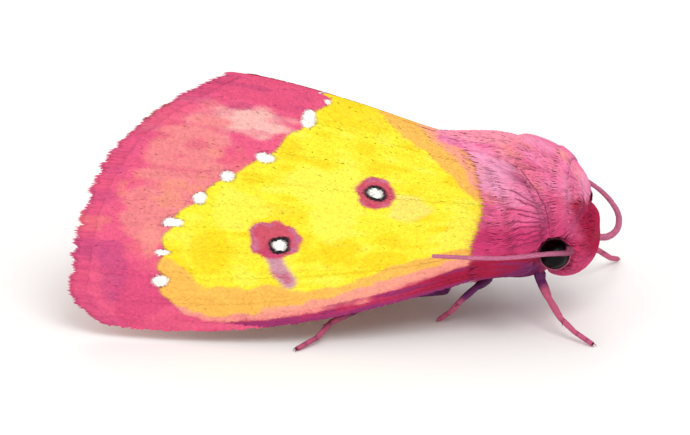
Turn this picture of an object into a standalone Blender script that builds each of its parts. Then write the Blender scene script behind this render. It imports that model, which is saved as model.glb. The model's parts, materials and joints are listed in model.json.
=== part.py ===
"""A pink star moth (Derrima stellata) at rest, life size, its wings folded like a roof.

The sizes below are millimetres, and each finished mesh is scaled to metres. +X points to the
head, +Y to the moth's left and +Z up, and the soles of its six feet stand at z = 0.
"""

import math
import random

import bmesh
import bpy
from mathutils import Matrix, Vector

MM = 0.001  # metres in a millimetre
FRAME_SHIFT = Vector((-0.35, -0.27, 0.0))  # puts the middle of the moth's box over the origin
GAP = 0.3  # clearance between neighbouring pieces
WELD = 0.0001  # merge distance of the seams and poles
SLIVER = 0.0006  # edges shorter than this are closed up after a union

# The folded forewings make one roof. Its lines run along x, its sides go down with t, from
# the inner margin on the ridge (t = 0) to the costa near the floor (t = 1).
RIDGE_HALF_GAP = 0.15
RIDGE_HEIGHT = (
    (-7.6, 6.7), (-5.2, 6.9), (-3.3, 6.85), (-1.6, 6.62), (0.65, 6.05),
    (2.9, 5.35), (3.6, 5.22), (5.0, 4.62), (5.8, 4.1),
)
COSTA_HEIGHT = (
    (-7.6, 0.5), (-6.3, 0.42), (-4.5, 0.36), (-2.2, 0.5), (0.0, 0.82),
    (2.2, 1.28), (5.0, 1.95), (5.8, 2.15),
)
COSTA_REACH = (
    (-7.6, 3.4), (-6.3, 3.6), (-4.5, 3.72), (-2.0, 3.68), (0.0, 3.45),
    (2.0, 3.0), (5.0, 1.92), (5.8, 1.6),
)
ROOF_ROUNDING = ((-2.0, 0.92), (1.0, 0.85), (4.0, 0.6), (5.0, 0.58))
WING_FRONT = 4.8
TERMEN = (
    (0.0, -3.1), (0.15, -4.9), (0.27, -5.9), (0.5, -6.68), (0.8, -6.98),
    (0.9, -6.95), (1.0, -6.1),
)

# the left wing is swung forwards a little at its inner corner, as one wing of a resting moth is
LEFT_SWING = ((0.0, 0.5), (0.15, 0.8), (0.3, 0.7), (0.6, 0.0), (1.0, 0.0))

WING_THICKNESS = 0.5
FRINGE_THICKNESS = 0.22
FRINGE_TOOTH = 0.09
FRINGE_START = 0.93  # share of a forewing's length where its edge begins to thin
HINDWING_FRINGE_START = 0.9
VEIN_HEIGHT = 0.12
VEIN_HALF_WIDTH = 0.022  # in t
VEIN_ONSET = (-0.01, 0.06)  # shares of the wing's length over which a vein rises
VEIN_TAPER = 0.5  # share of its height that it loses by the wing's edge
CROSS_VEIN_HEIGHT = VEIN_HEIGHT * 0.6
HINDWING_VEIN_SHARE = 0.6  # of the height of a forewing's vein
WING_COLUMNS = 18
# where each vein runs (t) and how far from the base it rises out of the discal cell
FOREWING_VEINS = (
    (0.10, 0.0), (0.24, 0.38), (0.36, 0.0), (0.46, 0.55), (0.55, 0.57),
    (0.65, 0.57), (0.76, 0.0), (0.87, 0.45), (0.95, 0.0),
)
CELL_END = 10 / WING_COLUMNS
CELL = (0.36, 0.76)

HINDWING_DEPTH = WING_THICKNESS + GAP + 0.05  # of its outer face below the roof
HINDWING_THICKNESS = 0.45
HINDWING_BAND = (0.17, 0.87)  # the part of the roof's t that it lies under
HINDWING_FRONT = 3.9
HINDWING_TERMEN = ((0.17, -2.6), (0.35, -4.3), (0.6, -4.9), (0.87, -4.3))
HINDWING_VEINS = ((0.15, 0.0), (0.38, 0.35), (0.58, 0.35), (0.8, 0.0))
HINDWING_COLUMNS = 10

# The thorax is a furry dome in front of the wings and a narrower core between them. Each row
# is x, half width, top, bottom, height of the widest line, squareness of the upper half and of
# the lower half.
SHOULDER = WING_FRONT + GAP
THORAX_RINGS = (
    (2.6, 0.55, 2.9, 1.6, 2.2, 2.0, 2.0),
    (2.75, 0.85, 3.15, 1.35, 2.2, 2.0, 2.0),
    (3.4, 0.9, 3.3, 1.25, 2.2, 2.0, 2.0),
    (4.1, 1.0, 3.35, 1.2, 2.2, 2.0, 2.0),
    (4.8, 1.1, 3.4, 1.18, 2.25, 2.0, 2.0),
    (SHOULDER - 0.01, 1.4, 3.7, 1.18, 2.3, 2.0, 1.7),
    (SHOULDER, 2.3, 5.25, 1.18, 2.7, 1.65, 1.4),
    (5.3, 2.36, 5.28, 1.2, 2.9, 1.8, 1.5),
    (5.75, 2.25, 5.12, 1.35, 3.1, 2.0, 1.7),
    (6.2, 2.0, 4.9, 1.65, 3.25, 2.1, 1.9),
    (6.6, 1.65, 4.58, 2.05, 3.4, 2.1, 2.0),
    (6.95, 1.2, 4.18, 2.6, 3.45, 2.1, 2.0),
    (7.15, 0.75, 3.85, 3.0, 3.48, 2.0, 2.0),
)
THORAX_SIDES = 28

# The coat of the thorax is made of flat tapered locks. The rear ones run from the dome over the
# wing bases to the line where the wing's yellow begins: (t on the roof, x of the tip). The others
# lie on the dome, in rows.
LOCK_THICKNESS = 0.34
LOCK_TIP_THICKNESS = 0.1
LOCK_REST = 0.53  # height of a rear lock's middle above the roof
SEAM = ((0.0, 3.55), (0.06, 3.95), (0.2, 4.3), (0.4, 4.5), (0.58, 4.4), (0.72, 4.25), (1.0, 4.3))
REAR_LOCKS = 8  # on each side
REAR_LOCK_WIDTH = 1.05
REAR_LOCK_STEPS = (0.0, 0.3, 0.55, 0.8, 1.0)  # shares of its length
REAR_ROOT_OVERLAP = 0.45  # how far in front of the shoulder it is rooted
REAR_ROOT_HEIGHT = 0.1  # above the roof
REAR_LOCK_ARCH = 0.12  # of its middle above its resting height
REAR_LOCK_CLIMB = 0.35  # share of its length over which it rises to the arch
REAR_LOCK_SETTLE = 0.5  # share of its length where it begins to sink to its resting height
# the upper layer ends further forward, and arches and rests higher
LAYER_SETBACK = 0.35
LAYER_ARCH = 0.18
LAYER_LIFT = 0.15
LAYER_STAGGER = 0.4  # of the lock spacing
# x of the roots, number of locks, length, width, and the turn from the top that the row reaches
DOME_ROWS = ((5.95, 11, 1.25, 1.05, 128), (6.5, 9, 1.2, 0.95, 112), (6.85, 7, 0.9, 0.75, 90))
DOME_ROOT_OVERLAP = 0.25  # how far in front of its row a lock is rooted
# share of a lock's length, and its height above the dome there
DOME_LOCK_RISE = ((0.0, -0.3), (0.3, 0.0), (0.65, 0.1), (1.0, 0.1))
# the crest over the front ends of the ridges: x and height of its middle lock
CREST = ((5.6, 4.95), (5.2, 5.28), (4.75, 5.42), (4.2, 5.4))
CREST_LOCKS = 3
CREST_SPACING = 0.38
CREST_DROP = 0.12  # of the next lock to each side
CREST_LEAN = 0.3  # sideways lean of the next lock to each side
CREST_WIDTH = REAR_LOCK_WIDTH * 0.7
# how much the locks differ from each other
SEAM_SPREAD = 0.1
TURN_SPREAD = 3  # degrees
LENGTH_SPREAD = 0.15
WIDTH_SPREAD = 0.1
SEED = 5

HEAD_CENTRE = Vector((6.5, 0.0, 2.42))
HEAD_SIZE = Vector((0.95, 1.2, 1.08))
HEAD_SIDES = (24, 14)  # around and along
FACE_LOCKS = 8
FACE_LOCK_REACH = 100  # degrees from the top that they spread to each side
FACE_LOCK_WIDTH = 0.5
FACE_LOCK_THICKNESS = 0.22
FACE_TURN_SPREAD = 4  # degrees
# degrees from the front of the head, and a face lock's height above the head there
FACE_LOCK_RISE = ((64, -0.12), (48, 0.02), (32, 0.06), (18, 0.05))
EYE_CENTRE = Vector((6.35, 1.06, 2.2))
EYE_RADIUS = 0.43
EYE_GAP = 0.22
EYE_SIDES = (16, 10)

# the palps lie close against the face, in one piece with the head
PALP_POINTS = ((6.8, 0.34, 1.6), (7.08, 0.36, 1.76), (7.26, 0.36, 2.04), (7.33, 0.34, 2.32))
PALP_RADII = (0.2, 0.22, 0.18, 0.08)
PALP_SIDES = 8

ABDOMEN_FRONT = 2.3
ABDOMEN_REAR = -4.4
ABDOMEN_SEGMENTS = 7
SEGMENT_STEPS = 3  # rings in a segment
ABDOMEN_SIDES = 20
ABDOMEN_RADIUS = ((-4.4, 0.35), (-3.6, 0.72), (-2.0, 1.08), (0.0, 1.25), (1.6, 1.12), (2.3, 0.85))
ABDOMEN_HEIGHT = ((-4.4, 1.95), (0.0, 2.25), (2.3, 2.2))
SEGMENT_SWELL = 0.07  # of each segment from its front to its rear edge
TAIL_LOCKS = 7
TAIL_LOCK_LENGTH = 1.3
TAIL_LOCK_WIDTH = 0.55
TAIL_ROOT_OVERLAP = 0.55  # how far in front of the abdomen's end it is rooted
TAIL_LENGTH_SPREAD = (0.85, 1.1)
# share of a tail lock's length, and its distance from the abdomen's middle line there
TAIL_LOCK_FLARE = ((0.0, 0.3), (0.35, 0.5), (0.7, 0.45), (1.0, 0.32))

ANTENNA_RADIUS = 0.25
ANTENNA_TIP_RADIUS = 0.12
ANTENNA_TAPER_START = 0.6  # share of its length
ANTENNA_STEPS = 22
ANTENNA_SIDES = 6
ANTENNA_POINTS = {
    "right": (
        (7.3, -1.45, 2.35), (7.15, -1.85, 2.5), (6.4, -2.55, 2.76), (5.0, -3.25, 2.8),
        (3.15, -3.25, 2.8),
    ),
    "left": (
        (7.3, 1.45, 2.1), (7.62, 1.68, 1.98), (7.8, 1.95, 2.1), (7.72, 2.3, 2.35),
        (7.3, 2.8, 2.7), (6.6, 3.25, 3.0), (5.5, 3.6, 3.45),
    ),
}

# Each leg's joints: root, end of the coxa, knee, ankle, start of the sole and claw.
LEG_JOINTS = {
    "foreleg_right": (
        (5.6, -0.7, 1.0), (5.85, -0.95, 0.93), (6.3, -1.4, 1.12),
        (6.72, -1.88, 0.58), (7.08, -2.15, 0.24), (7.65, -2.48, 0.22),
    ),
    "foreleg_left": (
        (5.4, 0.5, 0.98), (5.62, 0.9, 0.8), (6.5, 2.3, 1.35),
        (7.1, 3.4, 0.6), (7.3, 4.0, 0.24), (7.45, 4.5, 0.22),
    ),
    "midleg_right": (
        (4.45, -0.45, 0.9), (4.4, -0.75, 0.7), (4.1, -1.5, 1.05),
        (3.75, -1.5, 0.6), (3.5, -1.4, 0.24), (2.95, -1.2, 0.22),
    ),
    "midleg_left": (
        (4.45, 0.45, 0.9), (4.4, 0.8, 0.7), (3.95, 2.1, 1.1),
        (3.5, 3.0, 0.55), (3.3, 3.4, 0.24), (3.0, 3.95, 0.22),
    ),
    "hindleg_right": (
        (3.35, -0.4, 0.93), (3.2, -0.75, 0.72), (1.7, -1.75, 1.0),
        (0.2, -2.9, 0.5), (-0.1, -3.4, 0.25), (-0.62, -4.0, 0.22),
    ),
    "hindleg_left": (
        (3.35, 0.4, 0.93), (3.2, 0.75, 0.72), (1.5, 1.75, 1.0),
        (-0.7, 2.8, 0.5), (-1.15, 3.3, 0.25), (-1.8, 3.85, 0.22),
    ),
}
COXA_RADIUS = 0.3
FEMUR_RADIUS = 0.33
TIBIA_RADIUS = 0.29
TARSUS_RADIUS = 0.25
LEG_SIDES = 8
# place along a leg's bone, and the share of its radius there
BONE_SWELL = ((0.0, 0.9), (0.2, 1.0), (0.6, 1.0))

# colour (sRGB hex), roughness
COLOURS = {
    "pink": ("d8547f", 0.75),
    "crimson": ("a9144a", 0.75),
    "yellow": ("fdee45", 0.7),
    "cream": ("f3c9a6", 0.8),
    "eye": ("20141a", 0.2),
    "purple": ("8a3a6c", 0.7),
}


def curve(knots, x):
    """The smooth line through the knots (x, value), at x."""
    x = min(max(x, knots[0][0]), knots[-1][0])
    i = 1
    while i < len(knots) - 1 and x > knots[i][0]:
        i += 1

    def slope(j):
        before, after = knots[max(j - 1, 0)], knots[min(j + 1, len(knots) - 1)]
        return (after[1] - before[1]) / (after[0] - before[0])

    (x0, y0), (x1, y1) = knots[i - 1], knots[i]
    span = x1 - x0
    w = (x - x0) / span
    ends = (1 + 2 * w) * (1 - w) ** 2 * y0 + w * w * (3 - 2 * w) * y1
    return ends + span * (w * (1 - w) ** 2 * slope(i - 1) + w * w * (w - 1) * slope(i))


def mix(a, b, w):
    return a * (1 - w) + b * w


def ease(low, high, x):
    """0 below low, 1 above high, smooth between."""
    w = min(max((x - low) / (high - low), 0.0), 1.0)
    return w * w * (3 - 2 * w)


def spline(points, count):
    """Count points spread along the smooth line through the points."""
    knots = [Vector(p) for p in points]
    ends = [2 * knots[0] - knots[1]] + knots + [2 * knots[-1] - knots[-2]]
    result = []
    for k in range(count):
        place = k / (count - 1) * (len(knots) - 1)
        i = min(int(place), len(knots) - 2)
        w = place - i
        a, b, c, d = ends[i:i + 4]
        bend = (2 * a - 5 * b + 4 * c - d) * w * w + (3 * b - a - 3 * c + d) * w ** 3
        result.append(0.5 * (2 * b + (c - a) * w + bend))
    return result


def roof(x, t):
    """A point on the right-hand side of the roof that the forewings make."""
    rise = math.sin(math.pi / 2 * t) ** curve(ROOF_ROUNDING, x) if t > 0 else 0.0
    y = mix(RIDGE_HALF_GAP, curve(COSTA_REACH, x), rise)
    return Vector((x, -y, mix(curve(RIDGE_HEIGHT, x), curve(COSTA_HEIGHT, x), t)))


def roof_normal(x, t):
    step = 0.01
    low, high = max(t - step, 0.0), min(t + step, 1.0)
    down = roof(x, high) - roof(x, low)
    along = roof(x + step, t) - roof(x - step, t)
    return down.cross(along).normalized()


def make_material(name):
    colour, roughness = COLOURS[name]
    material = bpy.data.materials.get(name) or bpy.data.materials.new(name)
    material.use_nodes = True
    shader = material.node_tree.nodes["Principled BSDF"]
    levels = [int(colour[i:i + 2], 16) / 255 for i in (0, 2, 4)]
    linear = [c / 12.92 if c <= 0.04045 else ((c + 0.055) / 1.055) ** 2.4 for c in levels]
    shader.inputs["Base Color"].default_value = (*linear, 1.0)
    shader.inputs["Roughness"].default_value = roughness
    return material


def make_object(name, bm, colour):
    """An object from a bmesh in millimetres, placed in the moth's box in metres."""
    place = Matrix.Scale(MM, 4) @ Matrix.Translation(FRAME_SHIFT)
    bmesh.ops.transform(bm, matrix=place, verts=bm.verts)
    mesh = bpy.data.meshes.new(name)
    bm.to_mesh(mesh)
    bm.free()
    mesh.materials.append(make_material(colour))
    mesh.shade_smooth()
    mesh.set_sharp_from_angle(angle=math.radians(40))
    obj = bpy.data.objects.new(name, mesh)
    bpy.context.scene.collection.objects.link(obj)
    return obj


def mirror_y(bm):
    bmesh.ops.scale(bm, vec=(1, -1, 1), verts=bm.verts)
    bmesh.ops.reverse_faces(bm, faces=bm.faces)


def grid(columns, rows):
    """A flat triangulated grid, one unit a cell, with its corner at the origin."""
    bm = bmesh.new()
    bmesh.ops.create_grid(bm, x_segments=columns, y_segments=rows, size=0.5)
    bmesh.ops.translate(bm, vec=(0.5, 0.5, 0.0), verts=bm.verts)
    bmesh.ops.scale(bm, vec=(columns, rows, 1), verts=bm.verts)
    bmesh.ops.triangulate(bm, faces=bm.faces, quad_method="FIXED")
    return bm


def tube(shape, around, along):
    """A closed body whose skin is shape(angle, step), with flat or pointed ends."""
    bm = bmesh.new()
    bmesh.ops.create_grid(bm, x_segments=around, y_segments=along, size=0.5)
    for vert in bm.verts:
        turn = (vert.co.x + 0.5) * 2 * math.pi
        vert.co = shape(turn, round((vert.co.y + 0.5) * along))
    bmesh.ops.remove_doubles(bm, verts=bm.verts, dist=WELD)
    bmesh.ops.dissolve_degenerate(bm, edges=bm.edges, dist=WELD)
    rims = [edge for edge in bm.edges if edge.is_boundary]
    if rims:
        bmesh.ops.holes_fill(bm, edges=rims, sides=around)
    bmesh.ops.recalc_face_normals(bm, faces=bm.faces)
    return bm


def superpower(value, squareness):
    return math.copysign(abs(value) ** (2 / squareness), value)


def ellipsoid(centre, size, sides):
    """A closed ellipsoid with its poles at the ends of x."""
    around, along = sides

    def shape(turn, step):
        lift = math.pi * step / along
        flat = max(math.sin(lift), 0.0) if 0 < step < along else 0.0
        way = Vector((math.cos(lift), flat * math.sin(turn), flat * math.cos(turn)))
        return centre + way * Vector(size)

    return tube(shape, around, along)


def limb(points, radii, sides, across):
    """A round limb through the points; across is a vector that it never runs along."""
    centres = [Vector(p) for p in points]

    def shape(turn, step):
        tangent = centres[min(step + 1, len(centres) - 1)] - centres[max(step - 1, 0)]
        up = across.cross(tangent).normalized()
        side = tangent.cross(up).normalized()
        phase = turn + math.pi / sides
        point = centres[step] + radii[step] * (math.cos(phase) * up + math.sin(phase) * side)
        point.z = max(point.z, 0.0)  # a foot's sole is flat on the floor
        return point

    return tube(shape, sides, len(centres) - 1)


def lock(path, normals, width, thickness=LOCK_THICKNESS):
    """A flat tapered lock of hair along the path, lens-shaped across, with a pointed tip."""
    last = len(path) - 1

    def shape(turn, step):
        if step == last:
            return path[last].copy()
        share = step / last
        tangent = (path[step + 1] - path[max(step - 1, 0)]).normalized()
        side = normals[step].cross(tangent).normalized()
        half_width = width / 2 * (1 - share ** 2)
        half_thickness = mix(thickness, LOCK_TIP_THICKNESS, share) / 2
        across = half_width * math.sin(turn) * side
        return path[step] + across + half_thickness * math.cos(turn) * normals[step]

    return tube(shape, 4, last)


def fuse(obj, meshes, colour):
    """Joins closed meshes to the object in one union and keeps the largest closed surface."""
    collection = bpy.data.collections.new(f"{obj.name}_pieces")
    for i, bm in enumerate(meshes):
        piece = make_object(f"{obj.name}_piece_{i}", bm, colour)
        bpy.context.scene.collection.objects.unlink(piece)
        collection.objects.link(piece)
    bpy.context.scene.collection.children.link(collection)
    modifier = obj.modifiers.new("union", "BOOLEAN")
    modifier.operation = "UNION"
    modifier.solver = "MANIFOLD"  # it leaves no open edges where the locks cross
    modifier.operand_type = "COLLECTION"
    modifier.collection = collection
    apply_modifiers(obj)
    for piece in list(collection.objects):
        bpy.data.objects.remove(piece)
    bpy.data.collections.remove(collection)
    keep_largest(obj)


def keep_largest(obj):
    """Closes up the slivers that a union leaves, and drops every closed surface but the largest."""
    bm = bmesh.new()
    bm.from_mesh(obj.data)
    bmesh.ops.remove_doubles(bm, verts=bm.verts, dist=SLIVER * MM)
    bmesh.ops.dissolve_degenerate(bm, edges=bm.edges, dist=SLIVER * MM)
    left = set(bm.faces)
    shells = []
    while left:
        shell, border = set(), [left.pop()]
        while border:
            face = border.pop()
            shell.add(face)
            near = {f for edge in face.edges for f in edge.link_faces if f in left}
            left -= near
            border.extend(near)
        shells.append(shell)
    largest = max(shells, key=lambda shell: sum(face.calc_area() for face in shell))
    scrap = [face for shell in shells if shell is not largest for face in shell]
    bmesh.ops.delete(bm, geom=scrap, context="FACES")
    bm.to_mesh(obj.data)
    bm.free()


def cut(obj, cutter):
    """Cuts the cutter out of the object and removes it."""
    modifier = obj.modifiers.new("cut", "BOOLEAN")
    modifier.operation = "DIFFERENCE"
    modifier.solver = "MANIFOLD"
    modifier.object = cutter
    apply_modifiers(obj)
    bpy.data.objects.remove(cutter)


def apply_modifiers(obj):
    evaluated = obj.evaluated_get(bpy.context.evaluated_depsgraph_get())
    mesh = bpy.data.meshes.new_from_object(evaluated)
    obj.modifiers.clear()
    obj.data = mesh


def vein_rows(veins):
    """The grid's lines of t: both edges, and three lines to each vein."""
    rows = {0.0, 1.0}
    for t, _ in veins:
        rows.update((t - VEIN_HALF_WIDTH, t, t + VEIN_HALF_WIDTH))
    return sorted(rows)


def vein_rise(veins, s, t):
    """How far a vein lifts the membrane at s from the base, on the line t."""
    for place, start in veins:
        if abs(t - place) < 1e-6:
            onset = ease(start + VEIN_ONSET[0], start + VEIN_ONSET[1], s)
            return VEIN_HEIGHT * onset * (1 - VEIN_TAPER * s)
    return 0.0


def wing_mesh(veins, columns, face, side):
    """A membrane: face(s, t, row, inner, side) places each point of a grid on one of its faces."""
    rows = vein_rows(veins)
    bm = grid(columns, len(rows) - 1)
    inner = bmesh.ops.extrude_face_region(bm, geom=bm.faces[:], use_keep_orig=True)["geom"]
    inner = {item for item in inner if isinstance(item, bmesh.types.BMVert)}
    for vert in bm.verts:
        s, row = vert.co.x / columns, round(vert.co.y)
        vert.co = face(s, rows[row], row, vert in inner, side)
    bmesh.ops.triangulate(bm, faces=[f for f in bm.faces if len(f.verts) > 3])
    bmesh.ops.recalc_face_normals(bm, faces=bm.faces)
    return bm


def forewing_face(s, t, row, inner, side):
    fringe = ease(FRINGE_START, 1.0, s)
    termen = curve(TERMEN, t) + (curve(LEFT_SWING, t) if side == "left" else 0.0)
    x = mix(WING_FRONT, termen, s)
    if s > 0.999:
        x += FRINGE_TOOTH * (-1) ** row
    normal = roof_normal(x, t)
    thickness = mix(WING_THICKNESS, FRINGE_THICKNESS, fringe)
    if not inner:
        lift = vein_rise(FOREWING_VEINS, s, t)
        if CELL[0] < t < CELL[1] and abs(s - CELL_END) < 0.01:
            lift = CROSS_VEIN_HEIGHT
        return roof(x, t) + normal * lift * (1 - fringe)
    if t == 0:
        return roof(x, t) - Vector((0, 0, thickness / normal.z))
    return roof(x, t) - normal * thickness


def hindwing_face(s, t, row, inner, side):
    place = mix(HINDWING_BAND[0], HINDWING_BAND[1], t)
    x = mix(HINDWING_FRONT, curve(HINDWING_TERMEN, place), s)
    if inner:
        fringe = ease(HINDWING_FRINGE_START, 1.0, s)
        depth = HINDWING_DEPTH + mix(HINDWING_THICKNESS, FRINGE_THICKNESS, fringe)
    else:
        depth = HINDWING_DEPTH - HINDWING_VEIN_SHARE * vein_rise(HINDWING_VEINS, s, t)
    return roof(x, place) - roof_normal(x, place) * depth


def make_wings():
    for kind, veins, columns, face, colour in (
        ("forewing", FOREWING_VEINS, WING_COLUMNS, forewing_face, "yellow"),
        ("hindwing", HINDWING_VEINS, HINDWING_COLUMNS, hindwing_face, "cream"),
    ):
        for side in ("right", "left"):
            bm = wing_mesh(veins, columns, face, side)
            if side == "left":
                mirror_y(bm)
            make_object(f"{kind}_{side}", bm, colour)


def ring_point(ring, turn):
    """A point on a cross-section of the thorax; turn is 0 at the top and grows to the left."""
    x, half_width, top, bottom, widest, above, below = ring
    upper = math.cos(turn) > 0
    power = above if upper else below
    reach = top - widest if upper else widest - bottom
    y = half_width * superpower(math.sin(turn), power)
    return Vector((x, y, widest + reach * superpower(math.cos(turn), power)))


def dome_point(x, turn):
    """A point on the dome of the thorax, between its rings."""
    rings = [ring for ring in THORAX_RINGS if ring[0] >= SHOULDER]
    values = [curve([(ring[0], ring[i]) for ring in rings], x) for i in range(1, 7)]
    return ring_point((x, *values), turn)


def dome_normal(x, turn):
    step = 0.02
    around = dome_point(x, turn + step) - dome_point(x, turn - step)
    along = dome_point(x + step, turn) - dome_point(x - step, turn)
    return around.cross(along).normalized() * -1


def rear_lock(sign, t, layer, draw):
    """A lock from the shoulder over the base of a wing, clear of the wing by more than GAP."""
    tip = curve(SEAM, t) + LAYER_SETBACK * layer + draw.uniform(-SEAM_SPREAD, SEAM_SPREAD)
    root = SHOULDER + REAR_ROOT_OVERLAP
    arch = LOCK_REST + REAR_LOCK_ARCH + LAYER_ARCH * layer
    rest = LOCK_REST + LAYER_LIFT * layer
    side = Vector((1, -sign, 1))
    path, normals = [], []
    for share in REAR_LOCK_STEPS:
        x = mix(root, tip, share)
        height = mix(REAR_ROOT_HEIGHT, arch, ease(0.0, REAR_LOCK_CLIMB, share))
        height = mix(height, rest, ease(REAR_LOCK_SETTLE, 1.0, share))
        path.append((roof(x, t) + roof_normal(x, t) * height) * side)
        normals.append(roof_normal(x, t) * side)
    return lock(path, normals, REAR_LOCK_WIDTH * draw.uniform(1 - WIDTH_SPREAD, 1 + WIDTH_SPREAD))


def dome_locks(x, count, length, width, reach, draw):
    """A row of locks that lie on the dome and point to the rear."""
    for i in range(count):
        turn = mix(-reach, reach, i / (count - 1)) + draw.uniform(-TURN_SPREAD, TURN_SPREAD)
        turn = math.radians(turn)
        span = length * draw.uniform(1 - LENGTH_SPREAD, 1 + LENGTH_SPREAD)
        path, normals = [], []
        for share, height in DOME_LOCK_RISE:
            place = x + DOME_ROOT_OVERLAP - span * share
            normals.append(dome_normal(place, turn))
            path.append(dome_point(place, turn) + normals[-1] * height)
        yield lock(path, normals, width * draw.uniform(1 - WIDTH_SPREAD, 1 + WIDTH_SPREAD))


def crest_lock(place):
    """A lock of the crest; place counts the locks to the left of the middle one."""
    path = [Vector((x, CREST_SPACING * place, z - CREST_DROP * abs(place))) for x, z in CREST]
    upward = Vector((0.0, CREST_LEAN * place, 1.0)).normalized()
    return lock(path, [upward] * len(path), CREST_WIDTH)


def thorax_locks():
    draw = random.Random(SEED)
    for i in range(CREST_LOCKS):
        yield crest_lock(i - (CREST_LOCKS - 1) / 2)
    for sign in (-1, 1):
        for layer in (0, 1):
            for i in range(REAR_LOCKS):
                stagger = LAYER_STAGGER * layer if i < REAR_LOCKS - 1 else 0.0
                t = (i + 0.5 + stagger) / REAR_LOCKS
                yield rear_lock(sign, t, layer, draw)
    for x, count, length, width, reach in DOME_ROWS:
        yield from dome_locks(x, count, length, width, reach, draw)


def make_thorax():
    def shape(turn, step):
        return ring_point(THORAX_RINGS[step], turn)

    thorax = make_object("thorax", tube(shape, THORAX_SIDES, len(THORAX_RINGS) - 1), "pink")
    fuse(thorax, thorax_locks(), "pink")
    room = HEAD_SIZE + Vector((GAP, GAP, GAP))
    cut(thorax, make_object("head_room", ellipsoid(HEAD_CENTRE, room, HEAD_SIDES), "pink"))
    for sign in (-1, 1):
        room = [EYE_RADIUS + GAP] * 3
        centre = EYE_CENTRE * Vector((1, sign, 1))
        cut(thorax, make_object("eye_room", ellipsoid(centre, room, EYE_SIDES), "pink"))
    keep_largest(thorax)


def face_locks():
    """Locks that run forwards over the face from the top and the sides of the head."""
    draw = random.Random(SEED)
    for i in range(FACE_LOCKS):
        turn = mix(-FACE_LOCK_REACH, FACE_LOCK_REACH, i / (FACE_LOCKS - 1))
        turn = math.radians(turn + draw.uniform(-FACE_TURN_SPREAD, FACE_TURN_SPREAD))
        path, normals = [], []
        for degrees, height in FACE_LOCK_RISE:
            lift = math.radians(degrees)
            way = Vector((math.cos(lift), math.sin(lift) * math.sin(turn), math.sin(lift) * math.cos(turn)))
            normals.append(Vector(a / b for a, b in zip(way, HEAD_SIZE)).normalized())
            path.append(HEAD_CENTRE + way * HEAD_SIZE + normals[-1] * height)
        yield lock(path, normals, FACE_LOCK_WIDTH, FACE_LOCK_THICKNESS)


def make_head():
    head = make_object("head", ellipsoid(HEAD_CENTRE, HEAD_SIZE, HEAD_SIDES), "crimson")
    palps = []
    for sign in (-1, 1):
        points = [Vector(p) * Vector((1, sign, 1)) for p in PALP_POINTS]
        palps.append(limb(points, PALP_RADII, PALP_SIDES, Vector((0, 1, 0))))
    fuse(head, [*face_locks(), *palps], "crimson")
    for side, sign in (("right", -1), ("left", 1)):
        centre = EYE_CENTRE * Vector((1, sign, 1))
        room = [EYE_RADIUS + EYE_GAP] * 3
        cut(head, make_object("eye_room", ellipsoid(centre, room, EYE_SIDES), "crimson"))
        keep_largest(head)
        make_object(f"eye_{side}", ellipsoid(centre, [EYE_RADIUS] * 3, EYE_SIDES), "eye")


def make_antennae():
    shares = [k / (ANTENNA_STEPS - 1) for k in range(ANTENNA_STEPS)]
    tapers = [ease(ANTENNA_TAPER_START, 1.0, share) for share in shares]
    radii = [mix(ANTENNA_RADIUS, ANTENNA_TIP_RADIUS, taper) for taper in tapers]
    across = Vector((0.3, 0.0, 1.0))
    for side, points in ANTENNA_POINTS.items():
        antenna = limb(spline(points, ANTENNA_STEPS), radii, ANTENNA_SIDES, across)
        make_object(f"antenna_{side}", antenna, "pink")


def tail_locks():
    """The tuft at the end of the abdomen."""
    draw = random.Random(SEED)
    for i in range(TAIL_LOCKS):
        turn = 2 * math.pi * i / TAIL_LOCKS
        outward = Vector((0.0, math.sin(turn), math.cos(turn)))
        span = TAIL_LOCK_LENGTH * draw.uniform(*TAIL_LENGTH_SPREAD)
        path = []
        for share, radius in TAIL_LOCK_FLARE:
            x = ABDOMEN_REAR + TAIL_ROOT_OVERLAP - span * share
            path.append(Vector((x, 0.0, curve(ABDOMEN_HEIGHT, x))) + outward * radius)
        yield lock(path, [outward] * len(path), TAIL_LOCK_WIDTH, FACE_LOCK_THICKNESS)


def make_abdomen():
    steps = ABDOMEN_SEGMENTS * SEGMENT_STEPS

    def shape(turn, step):
        x = mix(ABDOMEN_FRONT, ABDOMEN_REAR, step / steps)
        swell = SEGMENT_SWELL * (step % SEGMENT_STEPS) / SEGMENT_STEPS
        radius = curve(ABDOMEN_RADIUS, x) + swell
        height = curve(ABDOMEN_HEIGHT, x)
        return Vector((x, radius * math.sin(turn), height + radius * math.cos(turn)))

    abdomen = make_object("abdomen", tube(shape, ABDOMEN_SIDES, steps), "cream")
    fuse(abdomen, tail_locks(), "cream")


def make_legs():
    bones = (COXA_RADIUS, FEMUR_RADIUS, TIBIA_RADIUS, TARSUS_RADIUS, TARSUS_RADIUS)
    for name, joints in LEG_JOINTS.items():
        joints = [Vector(p) for p in joints]
        points, radii = [], []
        for start, end, radius in zip(joints, joints[1:], bones):
            for place, share in BONE_SWELL:
                points.append(start.lerp(end, place))
                radii.append(max(radius * share, TARSUS_RADIUS))
        points.append(joints[-1])
        radii.append(TARSUS_RADIUS)
        heading = joints[-1] - joints[1]
        across = Vector((-heading.y, heading.x, 0.0)).normalized()
        make_object(name, limb(points, radii, LEG_SIDES, across), "purple")


def main():
    for obj in list(bpy.data.objects):
        bpy.data.objects.remove(obj)
    make_wings()
    make_thorax()
    make_head()
    make_antennae()
    make_abdomen()
    make_legs()


main()
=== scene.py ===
"""The looks of the pink star moth: skins, scales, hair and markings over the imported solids.

Sizes are in millimetres until a piece is finished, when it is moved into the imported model's
frame in metres. +X points to the head, +Y to the moth's left and +Z up.
"""

import json
import math

import bmesh
import bpy
import numpy as np
from mathutils import Matrix, Vector

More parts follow.
